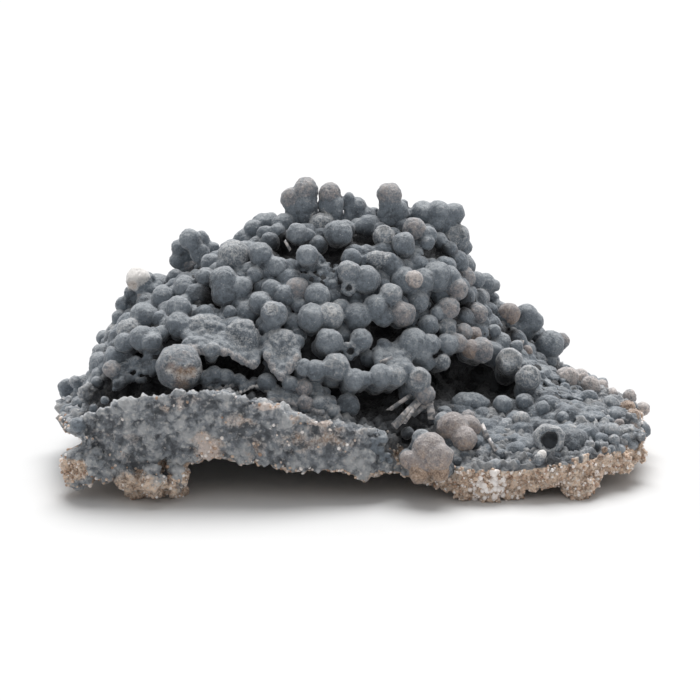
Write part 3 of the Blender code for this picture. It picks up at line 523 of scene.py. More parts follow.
# Thin chips of broken crust: from (across, up) to (across, up), width, out.
CHIPS = (
    ((7.8, 15.2), (13.2, 20.4), 2.0, 3.4), ((6.4, 18.0), (12.0, 21.6), 1.2, 2.8),
    ((9.4, 15.2), (11.6, 18.6), 1.2, 4.0), ((14.2, 21.0), (15.2, 15.8), 1.7, 3.0),
    ((11.2, 17.0), (15.4, 20.2), 1.3, 2.4), ((25.0, 15.4), (26.2, 12.2), 1.3, 2.2),
    ((25.8, 13.2), (28.0, 9.8), 1.2, 2.2), ((32.6, 31.6), (34.6, 31.0), 1.2, 2),
    ((-14.6, 52.0), (-13.2, 50.0), 0.9, 0.5), ((4.8, 27.4), (7.4, 28.4), 1.2, 4),
    ((9.4, 26.0), (11.6, 24.6), 1.0, 5), ((28.4, 32.8), (31.2, 31.4), 1.0, 1),
)
print(len(DOMES), "domes,", len(CUPS), "cups,", len(SHEETS), "sheets,", len(CHIPS), "chips")

# %% [markdown]
# Blender can add one primitive at a time as an object, but thousands of objects are slow. A growth
# gathers the corners and faces of its shapes in two plain lists and becomes one mesh at the end.

# %% A growth
def unit_ball(subdivisions):
    shape = bmesh.new()
    bmesh.ops.create_icosphere(shape, subdivisions=subdivisions, radius=1)
    corners = [vertex.co.copy() for vertex in shape.verts]
    faces = [[vertex.index for vertex in face.verts] for face in shape.faces]
    shape.free()
    return corners, faces


ROUND_BALL, SMALL_BALL, GRAIN = unit_ball(4), unit_ball(2), unit_ball(1)
SMALL_RADIUS = 1.1


class Growth:
    """Closed shapes that overlap, gathered as one list of corners and one of faces."""

    def __init__(self):
        self.corners, self.faces = [], []

    def add(self, corners, faces):
        start = len(self.corners)
        self.corners += corners
        self.faces += [[start + i for i in face] for face in faces]

    def add_ball(self, centre, radius):
        corners, faces = ROUND_BALL if radius > SMALL_RADIUS else SMALL_BALL
        self.add([centre + corner * radius for corner in corners], faces)

    def add_squashed_ball(self, matrix, pattern=ROUND_BALL):
        corners, faces = pattern
        self.add([matrix @ corner for corner in corners], faces)

    def mesh(self, name):
        made = bpy.data.meshes.new(name)
        made.from_pydata(self.corners, [], self.faces)
        return made


print(len(ROUND_BALL[1]), "faces on a ball,", len(GRAIN[1]), "on a grain")

# %% A dome
GRAINS_ON_DOME, GRAIN_RADII = 260, (0.4, 0.95)


def add_dome(growth, across, up, half_across, half_along, half_thick, out, lean, finish):
    """A squashed ball over its own root, and what the colouring needs to know about it."""
    chance = random.Random(round(across * 10))
    centre, size, root = seat(across, up, half_thick, out)
    scale = size / half_thick
    turn = Matrix.Rotation(LOOK_DOWN - math.radians(lean), 4, "X")
    stretch = Matrix.Diagonal((half_across * scale, half_thick * scale, half_along * scale, 1))
    shape = Matrix.Translation(centre) @ turn @ stretch
    growth.add_squashed_ball(shape)
    if finish == "grainy":
        for corner in chance.sample(ROUND_BALL[0], GRAINS_ON_DOME):
            growth.add_ball(shape @ corner, chance.uniform(*GRAIN_RADII))
    growth.add_ball((centre + root) / 2, half_thick * NECK)
    growth.add_ball(root, half_thick * NECK)
    return Ball(centre, half_along, finish, (centre - root).normalized())


# %% A cup
CUP_SIDES, BRIM_STEPS, HOLLOW_STEPS = 36, 12, 7
CUP_UNEVEN = 0.3


def add_cup(growth, across, up, outer_radius, hole_radius, out, finish):
    """A ball broken open towards the eye: its outside turns over a rim into a closed hollow."""
    centre, size, root = seat(across, up, outer_radius, out)
    scale = size / outer_radius
    facing = TOWARDS_EYE.to_track_quat("Z", "Y").to_matrix()
    brim = math.acos(-hole_radius / outer_radius * 0.9)
    outside = [brim * step / BRIM_STEPS for step in range(BRIM_STEPS + 1)]
    profile = [(outer_radius * math.sin(a), -outer_radius * math.cos(a)) for a in outside]
    lip = profile[-1]
    hollow = [math.pi / 2 * step / HOLLOW_STEPS for step in range(HOLLOW_STEPS + 1)]
    floor_at = lip[1] - hole_radius * 1.3
    profile += [
        (hole_radius * math.cos(a), lip[1] - (lip[1] - floor_at) * math.sin(a)) for a in hollow
    ]
    corners = []
    for reach, height in profile:
        for turn in (2 * math.pi * i / CUP_SIDES for i in range(CUP_SIDES)):
            ring = Vector((math.cos(turn), math.sin(turn), 0))
            uneven = 1 + CUP_UNEVEN * noise.noise(ring * 1.6 + centre)
            place = ring * reach * uneven + Vector((0, 0, height * uneven))
            corners.append(centre + facing @ place * scale)
    rows = [row * CUP_SIDES for row in range(len(profile))]
    faces = [
        [low + i, low + (i + 1) % CUP_SIDES, high + (i + 1) % CUP_SIDES, high + i]
        for low, high in zip(rows, rows[1:])
        for i in range(CUP_SIDES)
    ]
    growth.add(corners, faces)
    growth.add_ball((centre + root) / 2 - TOWARDS_EYE * outer_radius * 0.5, outer_radius * 0.8)
    knob = centre + TOWARDS_EYE * (floor_at + 0.1 * hole_radius) * scale
    growth.add_ball(knob, hole_radius * 0.35)
    bottom = centre + TOWARDS_EYE * (lip[1] - hole_radius * 0.8) * scale
    # The mouth takes the hole finish, a painted shade inside the cup.
    mouth = Ball(bottom, hole_radius * 0.9, "hole")
    return [Ball(centre, outer_radius, finish, TOWARDS_EYE), mouth]


# %% A sheet
SHEET_GAP = 0.9


def along(points, gap):
    """Points an even gap apart along a line of straight runs."""
    for start, end in zip(points, points[1:]):
        steps = max(1, round(math.dist(start, end) / gap))
        for step in range(steps):
            yield [a + (b - a) * step / steps for a, b in zip(start, end)]
    yield list(points[-1])


def add_sheet(growth, lip, rise, thickness, out, finish):
    """A sheet that grew out over a hollow: rows of small balls from its lip back to its root."""
    chance = random.Random(len(lip) + round(rise * 10))
    marks = []
    for across, up in along(lip, SHEET_GAP):
        edge, size, _ = seat(across, up, thickness, out)
        root, _, _ = seat(across * 0.98, up + rise, thickness, 0)
        middle = (edge + root) / 2 + Vector((0, -0.3, 1.0))
        steps = max(2, round((edge - root).length / SHEET_GAP))
        for step in range(steps + 1):
            t = step / steps
            place = edge * (1 - t) ** 2 + middle * 2 * t * (1 - t) + root * t * t
            radius = size * chance.uniform(0.6, 1.1 + t * 0.8)
            growth.add_ball(place, radius)
            marks.append(Ball(place, radius, "plain" if step else finish, TOWARDS_EYE))
    return marks


# %% A chip
CHIP_HALF_THICK = 0.2


def add_chip(growth, start, end, width, out, dice):
    """A thin flat chip with uneven corners."""
    (foot, scale, _), (tip, _, _) = seat(*start, 1, out), seat(*end, 1, out)
    side = (tip - foot).normalized().cross(TOWARDS_EYE).normalized() * width / 2 * scale
    corners = [
        middle + side * way * dice.uniform(0.4, 1.1) + (tip - foot) * dice.uniform(-0.1, 0.1)
        for middle, way in ((foot, -1), (foot, 1), (tip, 1), (tip, -1))
    ]
    faces = [TOWARDS_EYE * CHIP_HALF_THICK * way for way in (-1, 1)]
    corners = [corner + face for face in faces for corner in corners]
    edges = [[i, (i + 1) % 4, (i + 1) % 4 + 4, i + 4] for i in range(4)]
    growth.add(corners, [[3, 2, 1, 0], [4, 5, 6, 7]] + edges)

# %% [markdown]
# ## One skin round overlapping shapes
#
# Where two balls meet, the real surface runs on from one to the other. Joined spheres would keep
# their hidden halves and cut hard lines, so a voxel remesh wraps them in one skin, a few rounds of
# smoothing fill the creases, and decimation spends the triangles where the surface curves.

# %% Fuse shapes into a skin
def fused(name, mesh, voxel, smoothing):
    rough = object_of(name, mesh)
    skin = rough.modifiers.new("one skin", "REMESH")
    skin.mode = "VOXEL"
    skin.voxel_size = voxel
    if smoothing:
        soften = rough.modifiers.new("soft creases", "SMOOTH")
        soften.factor, soften.iterations = 0.5, smoothing
    rough.data = evaluated_mesh(rough)
    rough.modifiers.clear()
    return rough


# How strongly the thinning works where triangles are to be kept, and where they can be spared.
THINNING = (0.15, 1.0)


def thin_out(piece, triangles, spare=None):
    """Cuts the triangles to a number. More of them go where spare, a value for a corner, is 1."""
    count = sum(len(face.vertices) - 2 for face in piece.data.polygons)
    if count > triangles:
        thin = piece.modifiers.new("fewer triangles", "DECIMATE")
        thin.ratio = triangles / count
        if spare is not None:
            group = piece.vertex_groups.new(name="spare")
            for level, strength in enumerate(THINNING):
                chosen = np.flatnonzero(spare.astype(int) == level).tolist()
                group.add(chosen, strength, "REPLACE")
            thin.vertex_group = "spare"
        piece.data = evaluated_mesh(piece)
        piece.modifiers.clear()
    print(piece.name, "has", count, "triangles, thinned to", len(piece.data.polygons))


def coordinates(mesh):
    flat = np.empty(len(mesh.vertices) * 3, np.float32)
    mesh.vertices.foreach_get("co", flat)
    return flat.reshape(-1, 3)


def normals(mesh):
    flat = np.empty(len(mesh.vertices) * 3, np.float32)
    mesh.vertices.foreach_get("normal", flat)
    return flat.reshape(-1, 3)


def move_corners(mesh, places):
    mesh.vertices.foreach_set("co", places.astype(np.float32).ravel())
    mesh.update()


# %% Press and roughen a skin
def press_hollows(mesh):
    """Pushes the crust away from the eye where a hollow lies between the balls."""
    places = coordinates(mesh)
    for middle, radius, depth in hollows:
        away = np.linalg.norm(places - np.array(middle), axis=1) / radius / 1.3
        dent = depth * np.clip(1 - away**2, 0, 1) ** 1.5
        places = places - np.outer(dent, np.array(TOWARDS_EYE)).astype(np.float32)
    move_corners(mesh, places)


def put(mesh, name, values):
    """Keeps one value for each corner of a mesh under a name."""
    layer = mesh.attributes.get(name) or mesh.attributes.new(name, "FLOAT", "POINT")
    layer.data.foreach_set("value", np.asarray(values, np.float32))


def taken(mesh, name):
    """The values kept under a name."""
    values = np.empty(len(mesh.vertices), np.float32)
    mesh.attributes[name].data.foreach_get("value", values)
    return values


def roughen(mesh, layers):
    """Pushes each corner along its normal by noise, in layers of (width, height, kind).

    How far each corner went is kept as its relief, 0.5 where it didn't move.
    """
    places, ways = coordinates(mesh), normals(mesh)
    push = np.zeros(len(places))
    for width, height, kind in layers:
        for i, place in enumerate(places):
            spot = Vector(place) / width
            if kind == "soft":
                push[i] += height * noise.noise(spot)
            else:
                push[i] += height * (0.5 - noise.voronoi(spot)[0][0])
    put(mesh, "relief", 0.5 + push / sum(height for _, height, _ in layers))
    move_corners(mesh, places + ways * push[:, None])


# %% [markdown]
# The crust stands on lumps of matrix. Broken matrix is rough at every scale, so four layers of
# noise, from 5 mm down to 0.6 mm, go into the geometry itself, and only what is finer is left to
# the material.

# %% Crust and feet
# A skin: the size of its voxels, and the most triangles that it may keep.
CRUST_SKIN = (0.32, 190000)
CRUST_ROUGHNESS = (
    (5, 1.0, "soft"), (2.4, 1.7, "grainy"), (1.2, 1.2, "grainy"), (0.6, 0.4, "soft"),
)
# Lumps under the crust: x, y, radius.
FEET = (
    (-41.6, -30.5, 2.5), (-37.9, -31, 2.6), (-34.7, -30, 2.2),
    (20.5, -32, 2.3), (24.5, -32.5, 2.7), (29, -31.5, 2.2), (41.6, -30, 2.9),
    (-30, 25, 4.6), (24, 27, 4.2),
)
FOOT_SINK = 0.45
# Lumps of matrix at both tips: across, up, radius, out.
CRUST_LUMPS_BY_HAND = (
    (-55.6, 9.6, 2.6, 0), (-57.2, 6.8, 2.0, 0), (-54.8, 5.4, 2.3, 0), (-52.2, 7.6, 2.6, 0),
    (-56.2, 3.8, 1.6, 0), (-50.4, 5.2, 2.0, 0), (-58.6, 19.4, 1.3, 0), (-57.0, 17.4, 1.4, 0),
    (-54.6, 12.0, 2.2, 0), (-53.0, 21.0, 2.4, 0), (-55.6, 20.6, 2.0, 0),
    (-45.2, 3.4, 2.4, 0.4), (-40.8, 2.8, 2.7, 0.8), (-36.4, 3.6, 2.0, 0),
    (56.0, 12.4, 2.2, 0), (55.6, 9.6, 2.2, 0), (54.6, 15.8, 2.0, 0), (53.4, 7.6, 2.0, 0),
)

growth = Growth()
crust_faces = [list(face.vertices) for face in crust.polygons]
growth.add([vertex.co.copy() for vertex in crust.vertices], crust_faces)
for x, y, radius in FEET:
    growth.add_ball(Vector((x, y, radius - FOOT_SINK)), radius)
    growth.add_ball(Vector((x, y * 0.97, radius * 2)), radius)
for across, up, radius, out in CRUST_LUMPS_BY_HAND:
    centre, size, root = seat(across, up, radius, out)
    growth.add_ball(centre, size)
    growth.add_ball(centre.lerp(root, 0.5), size * NECK)
crust_piece = fused("crust", growth.mesh("crust"), CRUST_SKIN[0], 0)
press_hollows(crust_piece.data)
roughen(crust_piece.data, CRUST_ROUGHNESS)
places = coordinates(crust_piece.data)
under_balls = (places[:, 1] > -16) & (places[:, 0] < 40)
thin_out(crust_piece, CRUST_SKIN[1], under_balls)

# %% [markdown]
# The balls are four pieces, so that none grows past what a viewer handles with ease: the show face
# in two halves, what lies between its balls, and the back, whose skin may be coarser.

# %% Pieces of balls
SHOW_SKIN, BETWEEN_SKIN, BACK_SKIN = (0.25, 185000), (0.28, 150000), (0.35, 120000)
BALL_ROUGHNESS = ((2.2, 0.3, "soft"), (0.9, 0.16, "grainy"), (0.5, 0.08, "soft"))
CREASE_ROUNDS = 2
# The two halves of the show face meet here along X.
SPLIT = -8


def grape_piece(name, balls, others, voxel, triangles):
    """One skin round balls and other shapes, and the balls that say how to colour it."""
    growth = Growth()
    for ball in balls:
        growth.add_ball(ball.centre, ball.radius)
    marks = list(balls)
    for add, figures in others:
        made = add(growth, *figures)
        marks += made if isinstance(made, list) else [made]
    piece = fused(name, growth.mesh(name), voxel, CREASE_ROUNDS)
    roughen(piece.data, BALL_ROUGHNESS)
    thin_out(piece, triangles)
    return piece, marks


others = [(add_dome, figures) for figures in DOMES]
others += [(add_cup, figures) for figures in CUPS]
others += [(add_sheet, figures) for figures in SHEETS]


def across_of(item):
    """The first figure of a row, which may sit in a list of points."""
    first = item[1][0]
    while isinstance(first, tuple):
        first = first[0]
    return first


def show_piece(name, wanted):
    balls = [ball for ball in show_balls if wanted(ball.centre.x)]
    near = [item for item in others if wanted(across_of(item))]
    return grape_piece(name, balls, near, *SHOW_SKIN)


show_left = show_piece("grapes_left", lambda across: across < SPLIT)
show_right = show_piece("grapes_right", lambda across: across >= SPLIT)
between = grape_piece("grapes_between", fill_balls, [], *BETWEEN_SKIN)
back = grape_piece("grapes_back", far_balls, [], *BACK_SKIN)

# %% [markdown]
# ## Which colour goes where
#
# The finishes need to know which ball a point belongs to. Each corner of the mesh finds the ball
# whose surface is closest, and keeps that ball's stain, frost and shade as named attributes, which
# the material then reads. Painting a picture would need one for each side of the specimen.

# %% Paint attributes from the balls
# For each finish: how far its stain goes towards tan, how much frost, and how light or dark it is.
# The dark finish at the root of a neck and on most balls between the others, and the hole finish
# inside a broken cup, are painted shade.
FINISHES = {
    "plain": (0.0, 0.12, 0.0), "dark": (0.0, 0.0, -0.35), "lobe": (0.0, 0.1, -0.5),
    "pale": (0.12, 0.4, 0.25), "frost": (0.05, 0.6, 0.1), "white": (0.1, 1.4, 0.5),
    "pink": (0.32, 0.3, 0.2), "rosy": (0.5, 0.35, 0.25), "blush": (0.4, 0.6, 0.65),
    "brown": (0.5, 0.2, 0.1), "tan": (1.0, 0.3, 0.2), "scar": (0.2, 0.2, 0.1),
    "grainy": (0.05, 0.5, 0.0), "cap": (0.2, 0.7, 0.3), "ring": (0.1, 0.7, 0.3),
    "lip": (0.3, 0.5, 0.25), "hole": (0.1, 0.0, -1.2),
}


def paint_from_balls(piece, marks):
    """Gives each corner the figures of the ball whose surface is closest."""
    places = coordinates(piece.data)
    best = np.full(len(places), 1e9)
    owner = np.zeros(len(places), int)
    for index, ball in enumerate(marks):
        gap = np.linalg.norm(places - np.array(ball.centre, np.float32), axis=1) - ball.radius
        # The hole's mark owns the whole hollow of its cup, so that its painted shade fills it.
        if ball.finish == "hole":
            gap[gap < 0.2 * ball.radius] = -99
        closer = gap < best
        best[closer] = gap[closer]
        owner[closer] = index
    chance = random.Random(SEED)
    figures = np.array([FINISHES[ball.finish] + (chance.random(),) for ball in marks])
    centres = np.array([ball.centre[:] for ball in marks])
    radii = np.array([ball.radius for ball in marks])
    grew = np.array([ball.grew[:] for ball in marks])
    outer = ((places - centres[owner]) / radii[owner, None] * grew[owner]).sum(axis=1)
    for name, values in zip(("stain", "frost", "shade", "ball"), figures[owner].T):
        put(piece.data, name, values)
    put(piece.data, "outer", 0.5 + 0.5 * np.clip(outer, -1, 1))
    put(piece.data, "up", normals(piece.data)[:, 2])
    print(piece.name, "takes its colours from", len(marks), "balls")


def paint_hollow_shade(piece):
    """How deep in a hollow each corner lies: 1 at its middle and 0 outside it. The finishes paint a
    near-black shade by it.
    """
    places = coordinates(piece.data)
    deep = np.zeros(len(places))
    for middle, radius, _ in hollows:
        away = np.linalg.norm(places - np.array(middle), axis=1) / radius
        behind = (places - np.array(middle)) @ -np.array(TOWARDS_EYE)
        deep = np.maximum(deep, np.clip(1.7 - 1.3 * away, 0, 1) * np.clip(behind + 0.6, 0, 1))
    put(piece.data, "deep", deep)


for piece, marks in (show_left, show_right, between, back):
    paint_from_balls(piece, marks)
    paint_hollow_shade(piece)

# %% [markdown]
# ## Scars and a notch
#
# Some balls carry a crater or a scar, where another ball broke off or the surface dried. A scar is
# too small for the list of balls, so it's pressed into the finished skin: a dent, its raised edge,
# and the stain and frost that gathered there. The left tip of the crust has a notch, which is
# pressed in likewise.

# %% Scars and craters: across, up, radius, depth, out, stain, frost
SCARS = (
    (-37.0, 26.4, 1.3, 0.8, 5.5, 0.6, 0.3), (-35.2, 25.4, 1.5, 1.1, 5.5, 0.8, 0.2),
    (-33.2, 25.6, 1.4, 1.0, 5.5, 0.8, 0.2), (-35.0, 23.4, 1.9, 0.1, 5.5, 0.55, 0.1),
    (-37.4, 25.8, 0.7, -0.3, 5.5, 0.3, 1.4), (-36.2, 25.0, 0.7, -0.3, 5.5, 0.3, 1.4),
    (-34.9, 24.7, 0.7, -0.3, 5.5, 0.3, 1.4), (-33.6, 24.8, 0.7, -0.3, 5.5, 0.3, 1.4),
    (-32.4, 25.3, 0.7, -0.3, 5.5, 0.3, 1.4), (-31.4, 26.2, 0.7, -0.3, 5.5, 0.3, 1.4),
    (-30.8, 27.3, 0.6, -0.3, 5.5, 0.3, 1.3),
    (5.8, 49.3, 0.7, 0.7, 1.5, 0.1, 0.4),
    (-7.2, 55.6, 2.0, 1.5, 1, 0.1, 0.7), (5.4, 53.4, 1.3, 0.6, 0.5, 0.0, 0.2),
    (19.8, 52.8, 1.6, 0.9, 0, 0.1, 0.3), (30.4, 28.4, 1.7, 0.6, 4, 0.15, 0.8),
    (34.2, 25.2, 1.6, 0.5, 4, 0.1, 0.9), (12.4, 24.2, 1.6, 0.9, 5, 0.3, 0.2),
    (-44.6, 43.0, 1.2, 0.4, 0, 0.8, 0.1), (-5.0, 37.6, 1.8, 0.2, 1.5, 0.1, 0.9),
    (-17.2, 38.2, 1.2, 0.1, 2.5, 0.0, 0.9),
)

# %% Press the scars
# How far in front of and behind its middle a scar still works, and how high its edge stands.
SCAR_REACH, SCAR_EDGE = 4, 0.18


def press_scars(mesh):
    """Dents a ball's front with a raised edge, and stains the dent."""
    places = coordinates(mesh)
    stain = taken(mesh, "stain")
    frost = taken(mesh, "frost")
    for across, up, radius, depth, out, colouring, frosting in SCARS:
        middle = np.array(seat(across, up, radius, out)[0])
        offset = places - middle
        deep = offset @ np.array(TOWARDS_EYE)
        away = np.linalg.norm(offset - np.outer(deep, TOWARDS_EYE), axis=1) / radius
        near = np.abs(deep) < SCAR_REACH
        dent = np.clip(1 - away**2, 0, 1) * near
        edge = np.exp(-(((away - 1.05) / 0.18) ** 2)) * near
        push = edge * SCAR_EDGE - dent * depth
        places = places + np.outer(push, TOWARDS_EYE).astype(np.float32)
        stain = np.maximum(stain, dent**0.5 * colouring)
        frost = np.maximum(frost, np.maximum(edge * 0.8, dent**0.5 * frosting))
    put(mesh, "stain", stain)
    put(mesh, "frost", frost)
    move_corners(mesh, places)


for piece, _ in (show_left, show_right):
    press_scars(piece.data)
print(len(SCARS), "scars")

# %% The notch in the left tip
# Where it is on the show face, its half-height and depth, where along X it starts, and over how far
# it gets its depth.
NOTCH, NOTCH_HALF_HEIGHT, NOTCH_DEPTH = (-57.5, 11.6), 1.5, 3.8
NOTCH_START, NOTCH_EASE = -50, 6


def in_notch(places):
    """1 in the middle of the groove that crosses the left tip, and 0 outside it."""
    above = (places - np.array(seat(*NOTCH, 1, 0)[0])) @ np.array(PICTURE_UP)
    outboard = np.clip((NOTCH_START - places[:, 0]) / NOTCH_EASE, 0, 1)
    return np.exp(-((above / NOTCH_HALF_HEIGHT) ** 2)) * outboard


def press_notch(mesh):
    places = coordinates(mesh)
    places[:, 0] += in_notch(places) * NOTCH_DEPTH
    move_corners(mesh, places)


for piece in (show_left[0], between[0], back[0], crust_piece):
    press_notch(piece.data)
print("the notch is up to", NOTCH_DEPTH, "mm deep")

# %% [markdown]
# ## Where the crust is stained
#
# Iron stained the matrix tan wherever it broke: on the feet, the tips and the rim. Pale crystalline
# patches lie on the slab's face, and the strongest carry a cream painted highlight. Both are soft
# ellipsoids in space, so they need no picture either.

# %% Paint the crust
def patch(places, centre, radii):
    """1 at the middle of an ellipsoid and 0 outside it."""
    away = np.linalg.norm((places - np.array(centre)) / np.array(radii), axis=1)
    return np.clip(1.6 * (1 - away), 0, 1)


# Tan patches: centre, half-sizes.
TAN_PATCHES = (
    ((-40, -34, 1.5), (11, 10, 6.5)),
    ((-55, -27, 4), (6, 8, 6)),
    ((24, -33, 1), (17, 5, 4.5)),
    ((41, -30, 2), (7, 5, 5)),
    ((52, -18, 4), (10, 10, 4)),
    ((-60, -16, 12), (4, 8, 6)),
    ((-59, -22, 7), (6, 14, 6)),
    ((-53, -30, 6), (5, 8, 4)),
    ((58, -4, 7), (5, 10, 6)),
    ((-27.2, -30, 8), (2.4, 9, 3.6)),
)
# Pale crystalline patches on the slab's face: across, up, half-sizes (across, up), strength. Where
# the strength is above 1, cream goes on too, partly a painted highlight along the ledges and on
# faces in shade.
PALE_PATCHES = (
    (-29.6, 9.4, 4.5, 5.5, 1.15), (-31.0, 12.4, 3.2, 2.4, 1.1), (-24.0, 15.6, 5.5, 2.2, 1.0),
    (-27.0, 6.6, 5.0, 3.0, 1.0), (-18.0, 18.6, 3.8, 1.3, 1.25), (-12.4, 17.0, 3.6, 1.3, 1.2),
    (-7.4, 15.0, 4.4, 1.2, 1.2), (-35.4, 19.4, 1.6, 2.2, 1.0), (-20, 10, 4, 4, 0.7),
    (-8, 12.6, 13, 6, 0.78), (-45, 12, 3, 2.5, 0.7), (-52, 12.6, 4, 2, 0.6),
    (-38.6, 18.0, 2, 1.2, 0.9), (-32.2, 19.8, 2, 1.2, 0.9), (-47, 8, 5, 3, 0.5),
    (0, 13, 3, 5, 0.75),
)


# %% The rim, and the paint itself
def turned_under(places, start, end):
    """0 where the crust faces up more than start says, 1 where less than end."""
    facing = np.array([crust_tree.find_nearest(Vector(place))[1].z for place in places])
    return np.clip((start - facing) / (start - end), 0, 1)


def rim_of(places):
    """1 along the broken rim at the lower right, and 0 elsewhere."""
    across, away, height = places.T
    on_edge = (across > 11) * (height < 10) * ((away < -12) | (across > 42))
    return turned_under(places, 0.45, 0.1) * on_edge


def paint_crust(piece):
    places = coordinates(piece.data)
    across, away, height = places.T
    tan = np.zeros(len(places))
    for centre, radii in TAN_PATCHES:
        tan = np.maximum(tan, patch(places, centre, radii))
    rim = rim_of(places)
    slab_edge = turned_under(places, -0.35, -0.8) * (across <= 11) * (away < -22)
    underside = np.clip((7 - height) / 4, 0, 1) * (away > -26)
    put(piece.data, "stain", np.clip(np.max((tan, rim, slab_edge * 0.8, underside), axis=0), 0, 1))
    pale = np.zeros(len(places))
    for middle_across, middle_up, half_across, half_up, strength in PALE_PATCHES:
        centre = seat(middle_across, middle_up, 1, 0)[0]
        pale = np.maximum(pale, strength * patch(places, centre, (half_across, 5, half_up)))
    put(piece.data, "pale", pale)
    # Soft-edged regions: the slab's face, the plateau on the right, both tips and the far edge.
    slab_face = np.clip((-22 - away) / 5, 0, 1) * (across < 14)
    plateau = 0.6 * np.clip((across - 10) / 6, 0, 1) * np.clip((15 - height) / 2, 0, 1)
    plateau *= np.clip((-6 - away) / 6, 0, 1)
    # Less open in the notch, so that the painted shade darkens it.
    left_tip = np.clip((-48 - across) / 3, 0, 1) * (1 - 0.8 * in_notch(places))
    far = np.clip((away - 10) / 6, 0, 1) * np.clip((20 - height) / 4, 0, 1)
    right_tip = 0.7 * np.clip((across - 42) / 4, 0, 1)
    # Where the crust lies open to the light. The rest of it, under the balls, gets a painted shade
    # in the matrix finish.
    put(piece.data, "open", np.clip(slab_face + plateau + left_tip + right_tip + far + rim, 0, 1))
    paint_hollow_shade(piece)


paint_crust(crust_piece)
stained = np.maximum(taken(between[0].data, "stain"), rim_of(coordinates(between[0].data)))
put(between[0].data, "stain", stained)
print("mean stain of the crust:", round(float(taken(crust_piece.data, "stain").mean()), 2))

# %% [markdown]
# ## Druse
#
# Where the matrix broke, grains of quartz stick out of it: small angular crystals, white or stained
# tan, thickest along the rim. Each grain is a rough ball of eighty faces, stretched, turned at
# random and half sunk, which reads as a crystal at this size. A patch of larger white crystals sits
# on the rim. The thin chips of crust in the dark hollow belong to this piece too.

# %% Grains of quartz on the rim, the feet and the pale patches
GRAINS, GRAIN_SIZES = 5600, (0.14, 0.4)
CRYSTALS, CRYSTAL_SIZES = 70, (0.3, 0.8)
# Where the larger crystals sit, and the left foot, which has few grains: centre, half-sizes.
CRYSTAL_PATCH = ((24.5, -32.5, 3.4), (5.0, 4.5, 4.2))
SMOOTH_FOOT = ((-40, -34, 1.5), (13, 12, 8))
CHIP_WHITE = -1


def grain_places(piece, weights, count, dice):
    """Places picked at random on a piece's faces, more of them where the weights are high."""
    faces = piece.data.polygons
    chosen = dice.choices(range(len(faces)), weights=weights, k=count)
    return [(faces[i].center.copy(), faces[i].normal.copy()) for i in chosen]


def add_grain(growth, place, normal, size, dice):
    turn = Euler([dice.uniform(0, 6.3) for _ in range(3)]).to_matrix().to_4x4()
    stretch = Matrix.Diagonal([size * dice.uniform(0.7, 1.3) for _ in range(3)] + [1])
    centre = place + normal * size * 0.15
    growth.add_squashed_ball(Matrix.Translation(centre) @ turn @ stretch, GRAIN)


def grow_druse(piece):
    dice = random.Random(SEED)
    faces = piece.data.polygons
    corner = np.array([face.vertices[0] for face in faces])
    area = np.array([face.area for face in faces])
    places = coordinates(piece.data)[corner]
    stain, pale = taken(piece.data, "stain")[corner], taken(piece.data, "pale")[corner]
    front = (places[:, 1] < -14) | (places[:, 0] > 44)
    likely = area * (front * (stain + 0.12 * pale) + 0.01 * (places[:, 1] < -22))
    likely *= 1 - 0.85 * patch(places, *SMOOTH_FOOT)
    crystals = area * patch(places, *CRYSTAL_PATCH) ** 2
    growth, white = Growth(), []
    for weights, number, sizes, whiteness in (
        (likely, GRAINS, GRAIN_SIZES, (0, 1)), (crystals, CRYSTALS, CRYSTAL_SIZES, (0.75, 1)),
    ):
        for place, normal in grain_places(piece, weights.tolist(), number, dice):
            add_grain(growth, place, normal, dice.uniform(*sizes), dice)
            white.append(dice.uniform(*whiteness))
    for chip in CHIPS:
        add_chip(growth, *chip, dice)
    mesh = growth.mesh("druse")
    # A figure for each corner: a grain's own, and one below 0 for the chips, which come last.
    colouring = np.repeat(white, len(GRAIN[0])).tolist()
    put(mesh, "white", colouring + [CHIP_WHITE] * (len(mesh.vertices) - len(colouring)))
    print(len(white), "grains,", len(mesh.polygons), "triangles")
    return object_of("druse", mesh)


druse = grow_druse(crust_piece)

# %% [markdown]
# ## Shader maths as Python
#
# A finish is a sum of small effects. Written as node calls it would fill pages, so one small class
# lets Python's own signs build the Math nodes.

# %% A socket that can do arithmetic
class Amount:
    """A number that varies over a surface."""

    def __init__(self, tree, socket):
        self.tree, self.socket = tree, socket

    def maths(self, operation, first, second):
        node = self.tree.nodes.new("ShaderNodeMath")
        node.operation = operation
        for slot, value in zip(node.inputs, (first, second)):
            plug(self.tree, slot, value)
        return Amount(self.tree, node.outputs[0])

    def __add__(self, other):
        return self.maths("ADD", self, other)

    def __radd__(self, other):
        return self.maths("ADD", other, self)

    def __sub__(self, other):
        return self.maths("SUBTRACT", self, other)

    def __rsub__(self, other):
        return self.maths("SUBTRACT", other, self)

    def __mul__(self, other):
        return self.maths("MULTIPLY", self, other)


def plug(tree, slot, value):
    """Links a socket, or sets it to a plain value."""
    if isinstance(value, Amount):
        tree.links.new(value.socket, slot)
    else:
        slot.default_value = value


